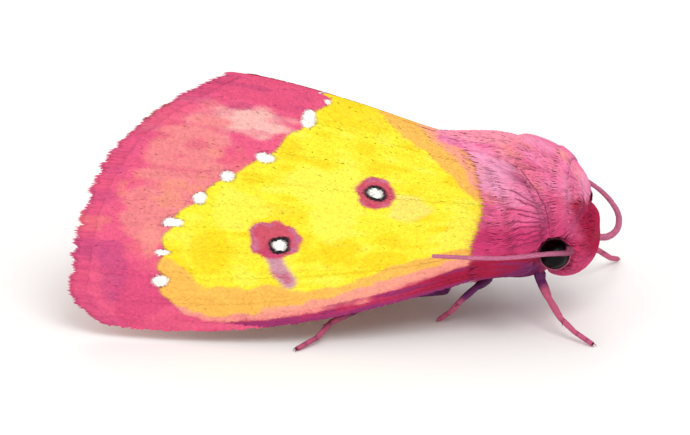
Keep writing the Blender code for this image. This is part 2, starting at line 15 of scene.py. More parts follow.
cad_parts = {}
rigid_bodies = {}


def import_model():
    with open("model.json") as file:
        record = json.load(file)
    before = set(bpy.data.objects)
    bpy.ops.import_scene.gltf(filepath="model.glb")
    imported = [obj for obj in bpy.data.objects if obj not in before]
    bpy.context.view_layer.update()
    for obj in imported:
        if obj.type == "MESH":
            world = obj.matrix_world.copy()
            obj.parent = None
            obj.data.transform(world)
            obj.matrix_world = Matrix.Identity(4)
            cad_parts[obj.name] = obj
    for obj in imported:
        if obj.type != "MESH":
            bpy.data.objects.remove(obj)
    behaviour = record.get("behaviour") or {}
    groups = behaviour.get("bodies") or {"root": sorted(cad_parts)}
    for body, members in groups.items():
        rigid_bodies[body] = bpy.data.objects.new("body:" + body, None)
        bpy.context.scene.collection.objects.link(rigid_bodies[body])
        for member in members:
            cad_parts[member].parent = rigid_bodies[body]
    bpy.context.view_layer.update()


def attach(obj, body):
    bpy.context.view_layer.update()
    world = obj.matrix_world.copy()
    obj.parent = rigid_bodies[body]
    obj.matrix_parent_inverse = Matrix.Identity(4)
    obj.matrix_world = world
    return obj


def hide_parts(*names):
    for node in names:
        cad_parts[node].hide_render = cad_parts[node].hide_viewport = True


MM = 0.001
FRAME_SHIFT = Vector((-0.35, -0.27, 0.0))
PLACE = Matrix.Scale(MM, 4) @ Matrix.Translation(FRAME_SHIFT)
SEED = 11
SIDES = {"right": -1, "left": 1}  # the sign of y

# The shapes that the coat is made of: a scale's outline in stations and half widths, and a tuft's
# half width at each station; then where a path's stations lie between root and tip
SCALE_OUTLINE = ((0, 0.12), (1.6, 0.5), (3, 0.3), (3, -0.3), (1.6, -0.5), (0, -0.12))
SCALE_KEEL = (1.6, 0.0, 1.0)
TUFT_HALF_WIDTHS = (0.3, 0.5, 0.38, 0.0)
TUFT_THICKNESS = 0.016
SCALE_STATIONS = np.array((0.0, 0.33, 0.67, 1.0))
HAIR_STATIONS = np.linspace(0, 1, 5)
TIP_LIGHTENING = 0.1
UNWRAP_PATCH = 0.003  # size of each copy on its unwrap

# Relief of the materials: height of the scales' grain, then the eye's facets and their height
GRAIN_RELIEF = 0.01
FACET_SIZE = 0.03
FACET_RELIEF = 0.002

# Camera and picture
PICTURE_WIDTH = 690  # pixels
PIXELS_PER_MM = 35.5
CAMERA_TURN = math.radians(8)
CAMERA_TILT = math.radians(20)
CAMERA_DISTANCE = 300
CAMERA_AIM = (0.225, 2.465, 3.0)  # to the right, up and towards the camera from the origin
SENSOR = 36
# lights: place, size and power in watts
LIGHTS = (
    ("key", (30, -60, 85), 60, 0.053), ("fill", (-70, -60, 40), 60, 0.012),
    ("rim", (-20, 70, 60), 50, 0.014),
)
LIGHT_AIM = (0, 0, 3)
FLOOR_HALF_SIZE = 2.0  # metres

# The roof that the folded forewings make: t runs from the ridge (0) down to the costa (1). Heights,
# reach to the side and rounding go by x; the outer edge (termen) goes by t
RIDGE_HALF_GAP = 0.15
RIDGE_HEIGHT = (
    (-7.6, 6.7), (-5.2, 6.9), (-3.3, 6.85), (-1.6, 6.62), (0.65, 6.05),
    (2.9, 5.35), (3.6, 5.22), (5.0, 4.62), (5.8, 4.1),
)
COSTA_HEIGHT = (
    (-7.6, 0.5), (-6.3, 0.42), (-4.5, 0.36), (-2.2, 0.5), (0.0, 0.82),
    (2.2, 1.28), (5.0, 1.95), (5.8, 2.15),
)
COSTA_REACH = (
    (-7.6, 3.4), (-6.3, 3.6), (-4.5, 3.72), (-2.0, 3.68), (0.0, 3.45),
    (2.0, 3.0), (5.0, 1.92), (5.8, 1.6),
)
ROOF_ROUNDING = ((-2.0, 0.92), (1.0, 0.85), (4.0, 0.6), (5.0, 0.58))
WING_FRONT = 4.8
TERMEN = (
    (0.0, -3.1), (0.15, -4.9), (0.27, -5.9), (0.5, -6.68), (0.8, -6.98),
    (0.9, -6.95), (1.0, -6.1),
)
# how much further forward the left wing's outer edge stands, by t
LEFT_SWING = ((0.0, 0.5), (0.15, 0.8), (0.3, 0.7), (0.6, 0.0), (1.0, 0.0))
FRINGE_ROWS = (4, 420)  # layers, and scales in each
FRINGE_LENGTH = 0.3
FRINGE_SCALE = (0.06, 0.01)  # width and thickness
FRINGE_LIE = (-0.06, -0.05, -0.05, -0.06, -0.08)  # height of each station over the roof
RIDGE_FRINGE_SCALES = 1400
RIDGE_FRINGE_REACH = (-2.9, 4.6)
RIDGE_FRINGE_LENGTH = 0.36
RIDGE_FRINGE_SCALE = (0.07, 0.012)  # width and thickness
RIDGE_FRINGE_INWARD = (0.12, 0.22)
FOREWING_FACES = (150, 110)
MEMBRANE_DEPTH = 0.05  # of the membrane's face under the roof
MEMBRANE_THICKNESS = 0.1
VEIN_HALF_WIDTH = 0.013  # in t
VEIN_HEIGHT = 0.035
# veins: t, and the share of the wing's length where each starts
FOREWING_VEINS = (
    (0.10, 0.0), (0.24, 0.38), (0.36, 0.0), (0.46, 0.55), (0.55, 0.57),
    (0.65, 0.57), (0.76, 0.0), (0.87, 0.45), (0.95, 0.0),
)
WING_ROWS = (160, 180)  # of scales along and across each forewing
WING_SCALE = (0.15, 0.085, 0.01)  # length, width and thickness
WING_SCALE_LIE = (0.016, 0.028, 0.036, 0.038)  # height of each station over the membrane
WING_SPAN = 7.0  # from the ridge to the costa where the wing is broadest

HINDWING_DEPTH = 0.9  # under the roof
HINDWING_THICKNESS = 0.1
HINDWING_FACES = (70, 60)
HINDWING_BAND = (0.17, 0.87)  # in t
HINDWING_FRONT = 3.9
HINDWING_TERMEN = ((0.17, -2.6), (0.35, -4.3), (0.6, -4.9), (0.87, -4.3))
HINDWING_VEINS = ((0.15, 0.0), (0.38, 0.35), (0.58, 0.35), (0.8, 0.0))
HINDWING_SCALES = 4500
HINDWING_SCALE = (0.26, 0.15, 0.012)  # length, width and thickness
HINDWING_SCALE_LIE = (0.0, 0.02, 0.035, 0.045)

# The thorax: x, half width, top, bottom, height of the widest line, and the squareness of the
# upper and of the lower half
SHOULDER = 5.1
THORAX_RINGS = (
    (2.6, 0.55, 2.9, 1.6, 2.2, 2.0, 2.0),
    (2.75, 0.85, 3.15, 1.35, 2.2, 2.0, 2.0),
    (3.4, 0.9, 3.3, 1.25, 2.2, 2.0, 2.0),
    (4.1, 1.0, 3.35, 1.2, 2.2, 2.0, 2.0),
    (4.8, 1.1, 3.4, 1.18, 2.25, 2.0, 2.0),
    (5.09, 1.4, 3.7, 1.18, 2.3, 2.0, 1.7),
    (5.1, 2.3, 5.25, 1.18, 2.7, 1.65, 1.4),
    (5.3, 2.36, 5.28, 1.2, 2.9, 1.8, 1.5),
    (5.75, 2.25, 5.12, 1.35, 3.1, 2.0, 1.7),
    (6.2, 2.0, 4.9, 1.65, 3.25, 2.1, 1.9),
    (6.6, 1.65, 4.58, 2.05, 3.4, 2.1, 2.0),
    (6.95, 1.2, 4.18, 2.6, 3.45, 2.1, 2.0),
    (7.15, 0.75, 3.85, 3.0, 3.48, 2.0, 2.0),
)
BODY_COAT_DEPTH = 0.12
HEAD_COAT_DEPTH = 0.1
ABDOMEN_COAT_DEPTH = 0.08
SKIN_VOXEL = 0.045
# faces round and along each body before they are joined in one skin
THORAX_FACES = (48, 60)
ABDOMEN_FACES = (40, 70)
HEAD_FACES = (40, 30)
CAPE_FACES = (20, 40)
CAPE_DEPTHS = (0.1, 0.25)  # of the skin under the cape's hair, and of its inner face under the wing
NECK_CENTRE = (6.0, 0.0, 2.75)
NECK_RADIUS = 0.95
# Hair: number of tufts, on each side where it is on both; their shortest and longest, thinnest and
# thickest, how far they stray, how much their shades differ, and each station's height over the skin.
# The head's lengths are in radians, and those of the collar and the tegula shares of the greatest
HAIR = {
    "dome": (5200, (0.4, 0.7), (0.045, 0.08), 0.05, 0.1, (-0.16, -0.04, 0.03, 0.06, 0.06)),
    "cape": (5200, (0.35, 0.65), (0.05, 0.085), 0.015, 0.1, (-0.12, 0.0, 0.05, 0.06, 0.03)),
    "crest": (1200, (0.35, 0.6), (0.05, 0.09), 0.1, 0.12, (-0.14, -0.05, 0.0, 0.02, 0.0)),
    "collar": (1300, (0.6, 1.0), (0.04, 0.075), 0.03, 0.12, (-0.12, 0.03, 0.08, 0.07, 0.03)),
    "tegula": (1000, (0.6, 1.0), (0.04, 0.075), 0.03, 0.12, (-0.12, 0.03, 0.08, 0.07, 0.03)),
    "head": (8000, (0.18, 0.32), (0.035, 0.06), 0.1, 0.14, (-0.1, -0.02, 0.03, 0.05, 0.06)),
    "brow": (500, (0.3, 0.3), (0.04, 0.07), 0.0, 0.14, ()),
}
# where the thorax coat ends on a wing: t and x
SEAM = ((0.0, 3.55), (0.06, 3.95), (0.2, 4.3), (0.4, 4.5), (0.58, 4.4), (0.72, 4.25), (1.0, 4.3))
CAPE_HEIGHT = 0.5  # of the thorax coat above the wing at the shoulder
# x and height of the hair that covers the front ends of the wings' ridges
CREST = ((5.7, 4.9), (5.2, 5.26), (4.75, 5.38), (4.2, 5.4), (3.4, 5.36), (2.7, 5.34))
CREST_SIZE = (0.55, 0.42)  # half width, and how far its sides fall
# the rim of the flap of hair over each wing base, and of the collar: share, x and degrees from the top
TEGULA_RIM = ((0.0, 5.4, 36), (0.22, 5.88, 51), (0.45, 6.15, 66), (0.75, 6.28, 84), (1.0, 6.3, 104))
# dark strokes that fan out over that flap from its front: x and degrees from the top where each
# starts and ends, then those that go on over the wing base: x and t at both ends
FLAP_STROKES = (
    (6.05, 66, 5.2, 50), (6.12, 70, 5.35, 57), (6.15, 74, 5.15, 61), (6.18, 78, 5.45, 68),
    (6.2, 81, 5.15, 71), (6.2, 84, 5.3, 76), (6.22, 87, 5.15, 81), (6.2, 91, 5.4, 87),
    (6.15, 95, 5.15, 91),
)
BASE_STROKES = (
    (5.2, 0.36, 4.65, 0.3), (5.25, 0.43, 4.6, 0.38), (5.2, 0.5, 4.7, 0.46), (5.3, 0.55, 4.5, 0.51),
    (5.2, 0.62, 4.6, 0.6), (5.3, 0.69, 4.5, 0.67), (5.2, 0.75, 4.45, 0.74),
)
STROKE_PIECES = 5
STROKE_WIDTH = 0.05
STROKE_HEIGHT = 0.12
RIM_HEIGHT = 0.04
COLLAR_RIM = ((0.0, 6.72, -125), (0.2, 6.85, -84), (0.5, 6.72, 0), (0.8, 6.85, 84), (1.0, 6.72, 125))
# collar and flaps: rim, sign of y of each piece, greatest length, rise in the middle, and fanning out
RUFFS = (
    ("collar", COLLAR_RIM, {"whole": 1}, 0.5, 0.05, 0.0),
    ("tegula", TEGULA_RIM, SIDES, 1.0, 0.07, 0.22),
)
RIM_SHADE_WEIGHTS = (1.0, 0.9, 0.3, 0.0, 0.0)  # of the painted shade along the rim, at each station

HEAD_CENTRE = (6.5, 0.0, 2.42)
HEAD_SIZE = (0.95, 1.2, 1.08)
CROWN_LIFT = (0.0, 0.4, 0.8, 1.0, 1.0)  # share at each station of the rise of the crown's hair
BROW_BULGE = 0.05  # of the hair where the thorax coat ends above the head
EYE_CENTRE = (6.35, 1.06, 2.23)
EYE_RADIUS = 0.41
EYE_FACING = (0.1, 0.93, 0.35)
EYE_SOCKET = (0.44, 0.78)  # radii where the crater round it starts and ends
EYE_RIM_SCALES = 150
EYE_RIM_SCALE = (0.03, 0.01)  # width and thickness
EYE_RIM_SPREAD = (0.0, 0.008, 0.02, 0.04, 0.06)  # how far each station lies past the eye
EYE_RIM_LIE = (-0.06, 0.02, 0.05, 0.06, 0.05)
PALP_POINTS = ((6.8, 0.34, 1.68), (7.05, 0.36, 1.86), (7.22, 0.36, 2.12), (7.3, 0.34, 2.38))
PALP_RADII = (0.17, 0.17, 0.13, 0.05)
PALP_SCALES = (500, 0.16, 0.06)  # number, length and width

ABDOMEN_FRONT = 3.0
ABDOMEN_REAR = -4.4
ABDOMEN_SEGMENTS = 7
# radius of the abdomen and height of its middle line, by x
ABDOMEN_RADIUS = ((-4.4, 0.35), (-3.6, 0.72), (-2.0, 1.08), (0.0, 1.25), (1.6, 1.12), (2.3, 0.85))
ABDOMEN_HEIGHT = ((-4.4, 1.95), (0.0, 2.25), (2.3, 2.2))
ABDOMEN_SCALES = 6000
ABDOMEN_SCALE = (0.3, 0.17, 0.014)  # length, width and thickness
ABDOMEN_SCALE_LIE = (-0.07, -0.03, 0.0, 0.03)
TAIL_TUFTS = 500
TAIL_TUFT = (0.1, 0.02)  # width and thickness
TAIL_SPREAD = ((-5.1, -4.7, -4.4, -3.6), (0.2, 0.4, 0.48, 0.7))  # x, and the tuft's radius there

ANTENNA_RADIUS = {"right": 0.07, "left": 0.085}
ANTENNA_TIP_RADIUS = 0.035
ANTENNA_ROOT_SWELL = 0.035
ANTENNA_JOINTS = 60
ANTENNA_SCALES = (1600, 0.09, 0.045)  # number, length and width
ANTENNA_POINTS = {
    "right": (
        (6.6, -0.85, 2.35), (6.8, -1.25, 2.45), (6.86, -1.6, 2.53), (6.76, -1.95, 2.6),
        (6.3, -2.5, 2.75), (5.0, -3.22, 2.82), (3.15, -3.25, 2.8),
    ),
    "left": (
        (6.8, 0.8, 2.15), (7.2, 1.2, 1.97), (7.58, 1.55, 1.88), (7.8, 1.92, 2.03),
        (7.74, 2.3, 2.35), (7.3, 2.8, 2.7), (6.6, 3.25, 3.0), (5.5, 3.6, 3.45),
    ),
}

# Each leg's joints: root inside the thorax, end of the coxa, knee, ankle, start of the foot, claw
LEG_JOINTS = {
    "foreleg_right": (
        (5.85, -0.85, 1.9), (5.95, -1.0, 1.4), (6.22, -1.34, 1.0),
        (6.62, -1.76, 0.56), (7.05, -2.06, 0.29), (7.6, -2.4, 0.08),
    ),
    "foreleg_left": (
        (5.7, 0.7, 1.8), (5.75, 1.1, 1.15), (6.5, 2.3, 1.4),
        (7.1, 3.4, 0.74), (7.35, 4.1, 0.28), (7.5, 4.6, 0.08),
    ),
    "midleg_right": (
        (4.45, -0.5, 1.7), (4.42, -0.85, 1.3), (4.18, -1.38, 1.25),
        (3.72, -1.35, 0.8), (3.42, -1.2, 0.4), (3.05, -1.05, 0.08),
    ),
    "midleg_left": (
        (4.45, 0.5, 1.6), (4.4, 0.95, 0.95), (3.95, 2.1, 1.14),
        (3.5, 3.0, 0.55), (3.3, 3.4, 0.16), (3.0, 3.9, 0.075),
    ),
    "hindleg_right": (
        (3.4, -0.45, 1.6), (3.2, -0.85, 0.9), (1.7, -1.75, 1.02),
        (0.22, -2.88, 0.52), (-0.1, -3.34, 0.22), (-0.6, -3.92, 0.075),
    ),
    "hindleg_left": (
        (3.4, 0.45, 1.6), (3.2, 0.85, 0.9), (1.5, 1.75, 1.02),
        (-0.7, 2.8, 0.52), (-1.15, 3.3, 0.2), (-1.8, 3.82, 0.075),
    ),
}
# radius where each bone starts, in its middle and where it ends
LEG_RADII = (
    (0.2, 0.16, 0.12), (0.11, 0.11, 0.08), (0.06, 0.075, 0.06), (0.05, 0.055, 0.045),
    (0.045, 0.045, 0.035),
)
BONE_STEPS = 8
LEG_SCALES = (1100, 0.14, 0.06)  # number on each leg, length and width
LEG_PINK_FROM = {"fore": 0.2, "midl": 0.48, "hind": 0.48}  # share of the leg where it turns pink
LEG_RINGS = (0.6, 0.8, 0.9)  # dark rings, as shares of the leg
LIMB_SIDES = 12
LIMB_SCALE_LIE = (0.0, 0.01, 0.02, 0.03)
LIMB_SCALE_THICKNESS = 0.01
# points of a claw from the leg's tip: how far ahead, aside and above
CLAW_HOOK = ((-0.03, 0.0, 0.0), (0.03, 0.03, 0.02), (0.07, 0.05, 0.0), (0.09, 0.06, -0.05))
CLAW_RADII = (0.02, 0.005)
CLAW_ACROSS = (0.1, 0.2, 1.0)
CLAW_CLEARANCE = 0.025
SPUR_REACH = (0.0, 0.12, 0.24)
SPUR_RADII = (0.025, 0.006)

# Markings of the forewing, in x and t
YELLOW_EDGE = (
    (0.0, -0.13), (0.10, -0.66), (0.276, -1.80), (0.362, -2.80), (0.45, -3.54), (0.549, -4.28),
    (0.667, -4.49), (0.785, -4.54), (0.88, -4.2), (0.93, -3.7), (0.96, -2.9), (1.0, -1.6),
)
SCALLOP_DEPTH = 0.08
SCALLOP_SPACING = 0.107  # in t
# white spots on that edge: t, half length along it and half width in millimetres, and raggedness
WHITE_SPOTS = (
    (0.018, 0.06, 0.08, 0.1), (0.10, 0.22, 0.19, 0.32), (0.276, 0.125, 0.25, 0.12),
    (0.362, 0.145, 0.2, 0.1),
    (0.45, 0.155, 0.18, 0.1), (0.549, 0.12, 0.25, 0.18), (0.667, 0.09, 0.23, 0.14),
    (0.785, 0.175, 0.21, 0.08),
)
# the bands above the costa: each line is where one colour gives way to the next
ORANGE_LINE = (
    (-4.5, 0.70), (-3.9, 0.73), (-3.4, 0.8), (-1.35, 0.807), (-0.42, 0.84), (1.3, 0.807),
    (2.03, 0.75), (3.12, 0.725), (4.4, 0.71),
)
SALMON_LINE = (
    (-4.3, 0.85), (-3.65, 0.907), (-2.95, 0.93), (-1.95, 0.925), (0.12, 0.888), (2.0, 0.83),
    (3.35, 0.8), (4.4, 0.77),
)
CRIMSON_LINE = ((-4.2, 0.92), (-3.65, 0.95), (-1.67, 0.963), (0.42, 0.95), (2.47, 0.902), (4.2, 0.86))
# the patches next to the thorax, above these lines
ORANGE_TOP = ((1.3, -0.02), (1.8, 0.05), (2.3, 0.085), (2.75, 0.1), (3.15, 0.163), (3.55, 0.242), (4.1, 0.33))
SALMON_TOP = ((2.4, -0.02), (2.8, 0.02), (3.28, 0.06), (3.75, 0.13), (4.0, 0.26))
# patches on the yellow: colour, strength, x, t, half length and half width in millimetres
YELLOW_PATCHES = (
    ("deep yellow", 0.9, 0.4, 0.65, 0.6, 0.55), ("deep yellow", 0.8, -3.1, 0.66, 0.6, 0.7),
    ("deep yellow", 0.7, 0.5, 0.03, 1.2, 0.5), ("deep yellow", 0.8, 1.7, 0.72, 0.7, 0.4),
    ("deep yellow", 0.6, -1.3, 0.5, 0.9, 0.35), ("pale yellow", 0.9, 0.0, 0.36, 1.5, 0.6),
    ("pale yellow", 0.9, 0.3, 0.5, 0.7, 0.8), ("pale yellow", 0.8, 3.9, 0.58, 0.7, 1.0),
    ("buff", 0.55, 2.4, 0.43, 0.6, 0.55), ("pale yellow", 0.7, -2.4, 0.5, 0.8, 0.6),
)
# patches on the pink of the outer wing, given in the same way
PINK_PATCHES = (
    ("hump pink", 0.9, -2.2, 0.02, 2.2, 0.55), ("pale salmon", 0.85, -2.3, 0.15, 1.1, 0.4),
    ("pale salmon", 0.5, -3.6, 0.2, 0.8, 0.5), ("salmon pink", 0.95, -4.0, 0.36, 1.3, 1.7),
    ("salmon pink", 0.9, -4.9, 0.52, 0.9, 1.1), ("lower pink", 0.9, -5.2, 0.86, 0.8, 0.9),
    ("magenta", 0.6, -5.9, 0.78, 0.45, 1.0), ("salmon", 0.5, -4.9, 0.64, 0.3, 0.5),
)
# eyespots: x, t, the radii of the pupil and the dark ring; then the pink blot's x, t, half length
# and half width
EYESPOTS = (
    (1.38, 0.36, 0.185, 0.33, 1.37, 0.36, 0.56, 0.55),
    (-1.2, 0.623, 0.18, 0.325, -1.33, 0.606, 0.74, 0.58),
)
EYESPOT_LOBE = (-1.72, 0.572, 0.36, 0.3)  # the rear blot's upper corner, given in the same way
EYESPOT_TAIL = ((-1.4, 0.66), (-1.2, 0.73), (-0.9, 0.788))  # its middle line in x and t
EYESPOT_TAIL_HALF_WIDTH = 0.22

# Patches of the body as they look from its side: colour, strength, how far right and up of the
# origin, half length, half width and degrees that they slant down to the front
# the lilac patches are the hair's own lilac and painted highlight together
BODY_PATCHES = (
    ("thorax low", 0.75, 4.9, 1.75, 1.7, 0.5, 0), ("thorax low", 0.5, 6.3, 2.0, 0.5, 0.9, 0),
    ("thorax top", 0.8, 4.3, 4.75, 1.6, 0.22, 3), ("thorax top", 0.7, 4.95, 4.05, 0.8, 0.25, 38),
    ("lilac", 0.95, 4.5, 3.76, 1.3, 0.36, 41), ("lilac", 0.95, 4.45, 3.5, 0.75, 0.45, 36),
    ("lilac", 0.5, 5.9, 4.45, 0.7, 0.12, 20), ("lilac", 0.55, 6.55, 3.2, 0.55, 0.16, 80),
    ("lilac", 0.6, 7.0, 3.25, 0.5, 0.13, 75), ("thorax orange", 0.5, 4.2, 3.05, 0.3, 0.16, 30),
    ("thorax orange", 0.6, 5.6, 3.34, 0.16, 0.09, 50), ("thorax orange", 0.55, 6.4, 4.15, 0.3, 0.09, 50),
    ("thorax orange", 0.45, 5.35, 4.45, 0.25, 0.1, 10), ("thorax orange", 0.4, 6.75, 3.7, 0.25, 0.08, 60),
    ("face pink", 0.4, 5.45, 3.85, 0.5, 0.25, 40), ("face pink", 0.45, 6.15, 2.85, 0.7, 0.2, 80),
    ("thorax orange", 0.55, 4.95, 4.3, 0.35, 0.12, 30), ("thorax orange", 0.5, 3.95, 3.85, 0.3, 0.14, 80),
    ("face pink", 0.4, 6.7, 3.0, 0.6, 0.12, 75),
    ("face", 0.95, 7.2, 2.3, 0.9, 0.55, 80), ("face", 0.75, 7.15, 1.6, 0.55, 0.5, 120),
    ("face pink", 0.7, 6.7, 1.35, 0.5, 0.35, 0),
)
# painted shade in the hair in the same frame, as dark lines: along the front edge of the flap over the wing
# base, and in the crease behind the head
BODY_SHADE_LINES = (
    ((4.87, 3.73), (5.3, 3.42), (5.65, 3.17), (5.9, 2.75), (6.0, 2.25)),
    ((7.12, 3.0), (6.92, 2.75), (6.75, 2.35)),
)
# the strip of the wings' front edge that shows under the thorax, in the same frame; under its bottom line the
# belly is painted in the legs' dark purple as a painted shadow
STRIP_TOP = ((2.9, 1.12), (4.6, 1.36), (5.6, 1.44))
STRIP_BOTTOM = ((2.9, 0.42), (4.6, 0.85), (5.6, 1.2))

COLOURS = {
    "yellow": "fdea2e", "deep yellow": "ffd60a", "pale yellow": "fdf24e", "buff": "fadf7c",
    "orange": "fabb55", "salmon": "f99f8e", "crimson": "c0225c", "deep crimson": "a60638",
    "pink": "eb5c84", "hump pink": "e05079", "salmon pink": "ee8588", "pale salmon": "f7c0b6",
    "magenta": "c0457f", "lower pink": "df4d7c", "streak": "8a2f6e", "edge line": "6e2440",
    "white": "fffcf6", "pupil": "fffdf5", "ring": "1c1016", "ring pink": "cc3d68",
    "ring lilac": "c884ab", "underside": "eda58c",
    # lilac: the thorax hair's own tone, also laid on as its painted highlight
    "thorax": "f57fac", "thorax top": "f79cae", "lilac": "f9abce", "thorax low": "d83a78",
    # hair line and shade: the dark lines of the hair, and the painted shade along the collar's and flaps'
    # rims and in the crease behind the head
    "thorax orange": "f9a488", "hair line": "8a1f58",
    "face": "b80a44", "face pink": "dc4678", "rim": "cf7f98",
    "abdomen": "f7c3aa", "abdomen ring": "ee9593", "hindwing": "f9dcbd",
    "leg": "6f2a66", "leg pink": "cb5f82", "feeler": "cb7093",
    "eye": "050304", "claw": "5a2038", "floor": "fbfaf8",
}


def linear(name):
    """A named sRGB colour as linear red, green and blue."""
    hexes = COLOURS[name]
    levels = [int(hexes[i:i + 2], 16) / 255 for i in (0, 2, 4)]
    return np.array([c / 12.92 if c <= 0.04045 else ((c + 0.055) / 1.055) ** 2.4 for c in levels])


def curve(knots, x):
    """The smooth line through the knots (x, value), at each x."""
    places, values = np.array(knots, float).T
    spans = np.r_[places[1] - places[0], (places[2:] - places[:-2]) / 2, places[-1] - places[-2]]
    slopes = np.gradient(values) / spans
    x = np.clip(x, places[0], places[-1])
    i = np.clip(np.searchsorted(places, x), 1, len(places) - 1)
    span = places[i] - places[i - 1]
    w = (x - places[i - 1]) / span
    ends = (1 + 2 * w) * (1 - w) ** 2 * values[i - 1] + w * w * (3 - 2 * w) * values[i]
    return ends + span * (w * (1 - w) ** 2 * slopes[i - 1] + w * w * (w - 1) * slopes[i])


def mix(a, b, w):
    return a * (1 - w) + b * w


def ease(low, high, x):
    """0 below low, 1 above high, smooth between."""
    w = np.clip((np.asarray(x, float) - low) / (high - low), 0.0, 1.0)
    return w * w * (3 - 2 * w)


def bump(centre, half_width, x):
    """1 at the centre, falling smoothly to 0 at half_width from it."""
    return 1 - ease(0.0, half_width, np.abs(x - centre))


def unit(vectors):
    return vectors / np.maximum(np.linalg.norm(vectors, axis=-1, keepdims=True), 1e-12)


def spline(points, count):
    """Count points spread along the smooth line through the points."""
    knots = np.array(points, float)
    ends = np.vstack((2 * knots[0] - knots[1], knots, 2 * knots[-1] - knots[-2]))
    place = np.linspace(0, len(knots) - 1, count)
    i = np.minimum(place.astype(int), len(knots) - 2)
    w = (place - i)[:, None]
    a, b, c, d = (ends[i + k] for k in range(4))
    bend = (2 * a - 5 * b + 4 * c - d) * w * w + (3 * b - a - 3 * c + d) * w ** 3
    return 0.5 * (2 * b + (c - a) * w + bend)


# Surfaces that the coat grows on

def roof(x, t, height=0.0):
    """Points on the right-hand side of the roof of wings, lifted off it by height."""
    x, t = np.broadcast_arrays(np.asarray(x, float), np.asarray(t, float))
    rise = np.sin(np.pi / 2 * np.clip(t, 0, 1)) ** curve(ROOF_ROUNDING, x)
    y = -mix(RIDGE_HALF_GAP, curve(COSTA_REACH, x), rise)
    point = np.stack((x, y, mix(curve(RIDGE_HEIGHT, x), curve(COSTA_HEIGHT, x), t)), -1)
    return point + roof_normal(x, t) * np.asarray(height)[..., None] if np.any(height) else point


def roof_normal(x, t):
    step = 0.01
    down = roof(x, np.minimum(t + step, 1)) - roof(x, np.maximum(t - step, 0))
    along = roof(x + step, t) - roof(x - step, t)
    return unit(np.cross(down, along))


def superpower(value, squareness):
    return np.sign(value) * np.abs(value) ** (2 / squareness)


def ring_point(x, values, turn):
    """A point on a cross-section of the thorax; turn is 0 at the top and grows to the left."""
    half_width, top, bottom, widest, above, below = values
    upper = np.cos(turn) > 0
    power = np.where(upper, above, below)
    reach = np.where(upper, top - widest, widest - bottom)
    y = half_width * superpower(np.sin(turn), power)
    return np.stack((x + 0 * turn, y, widest + reach * superpower(np.cos(turn), power)), -1)


def dome_point(x, turn):
    rings = [ring for ring in THORAX_RINGS if ring[0] >= SHOULDER]
    return ring_point(x, [curve([(ring[0], ring[i]) for ring in rings], x) for i in range(1, 7)], turn)


def dome_normal(x, turn):
    step = 0.02
    around = dome_point(x, turn + step) - dome_point(x, turn - step)
    along = dome_point(x + step, turn) - dome_point(x - step, turn)
    return -unit(np.cross(around, along))


def head_point(lift, turn, height=0.0):
    """A point on the head; lift is 0 at the front and turn is 0 at the top."""
    way = np.stack((np.cos(lift), np.sin(lift) * np.sin(turn), np.sin(lift) * np.cos(turn)), -1)
    normal = unit(way / np.array(HEAD_SIZE))
    return np.array(HEAD_CENTRE) + way * np.array(HEAD_SIZE) + normal * np.asarray(height)[..., None], normal


def abdomen_point(x, turn, height=0.0):
    segment = (ABDOMEN_FRONT - ABDOMEN_REAR) / ABDOMEN_SEGMENTS
    swell = 0.06 * (((ABDOMEN_FRONT - x) / segment) % 1.0)
    radius = curve(ABDOMEN_RADIUS, x) + swell + height
    normal = np.stack((0 * x, np.sin(turn) + 0 * x, np.cos(turn) + 0 * x), -1)
    centre = np.stack((x, 0 * x, curve(ABDOMEN_HEIGHT, x)), -1)
    return centre + normal * radius[..., None], normal


def limb_frames(centres, across):
    """The upward and sideways directions at each point of a limb."""
    tangent = unit(np.gradient(centres, axis=0))
    up = unit(np.cross(across, tangent))
    return up, unit(np.cross(tangent, up))


# Meshes

def grid(columns, rows, size=0.5):
    bm = bmesh.new()
    bmesh.ops.create_grid(bm, x_segments=columns, y_segments=rows, size=size)
    return bm


def shares_of(bm):
    """Each point's place on a fresh grid, as two shares from 0 to 1."""
    return np.array([vert.co[:2] for vert in bm.verts]) + 0.5


def move_points(bm, points):
    for vert, point in zip(bm.verts, points):
        vert.co = point


def ball(centre, radius, around, along):
    bm = bmesh.new()
    bmesh.ops.create_uvsphere(bm, u_segments=around, v_segments=along, radius=radius)
    bmesh.ops.translate(bm, vec=centre, verts=bm.verts)
    return bm


def tube(centres, radii, sides, across):
    """A closed round limb through the centres."""
    up, side = limb_frames(centres, across)
    steps = len(centres) - 1
    bm = grid(sides, steps)
    for vert in bm.verts:
        turn = (vert.co.x + 0.5) * 2 * math.pi
        step = round((vert.co.y + 0.5) * steps)
        vert.co = centres[step] + radii[step] * (math.cos(turn) * up[step] + math.sin(turn) * side[step])
    close_ends(bm, sides)
    return bm


def close_ends(bm, sides):
    bmesh.ops.remove_doubles(bm, verts=bm.verts, dist=0.0001)
    fill_rims(bm, sides)
    bmesh.ops.recalc_face_normals(bm, faces=bm.faces)


def fill_rims(bm, sides):
    rims = [edge for edge in bm.edges if edge.is_boundary]
    bmesh.ops.holes_fill(bm, edges=rims, sides=sides)


def loft(columns, rows, place):
    """A closed body from a grid that goes once round; place(around, along) takes two shares."""
    bm = grid(columns, rows)
    move_points(bm, place(*shares_of(bm).T))
    close_ends(bm, columns)
    return bm


def slab(columns, rows, outer, inner):
    """A closed thin sheet between two faces, each point's shares, and which points are inner."""
    bm = grid(columns, rows)
    back = bmesh.ops.extrude_face_region(bm, geom=bm.faces[:], use_keep_orig=True)["geom"]
    back = {item for item in back if isinstance(item, bmesh.types.BMVert)}
    shares = shares_of(bm)
    is_back = np.array([vert in back for vert in bm.verts])
    move_points(bm, np.where(is_back[:, None], inner(*shares.T), outer(*shares.T)))
    bmesh.ops.recalc_face_normals(bm, faces=bm.faces)
    return bm, shares, is_back


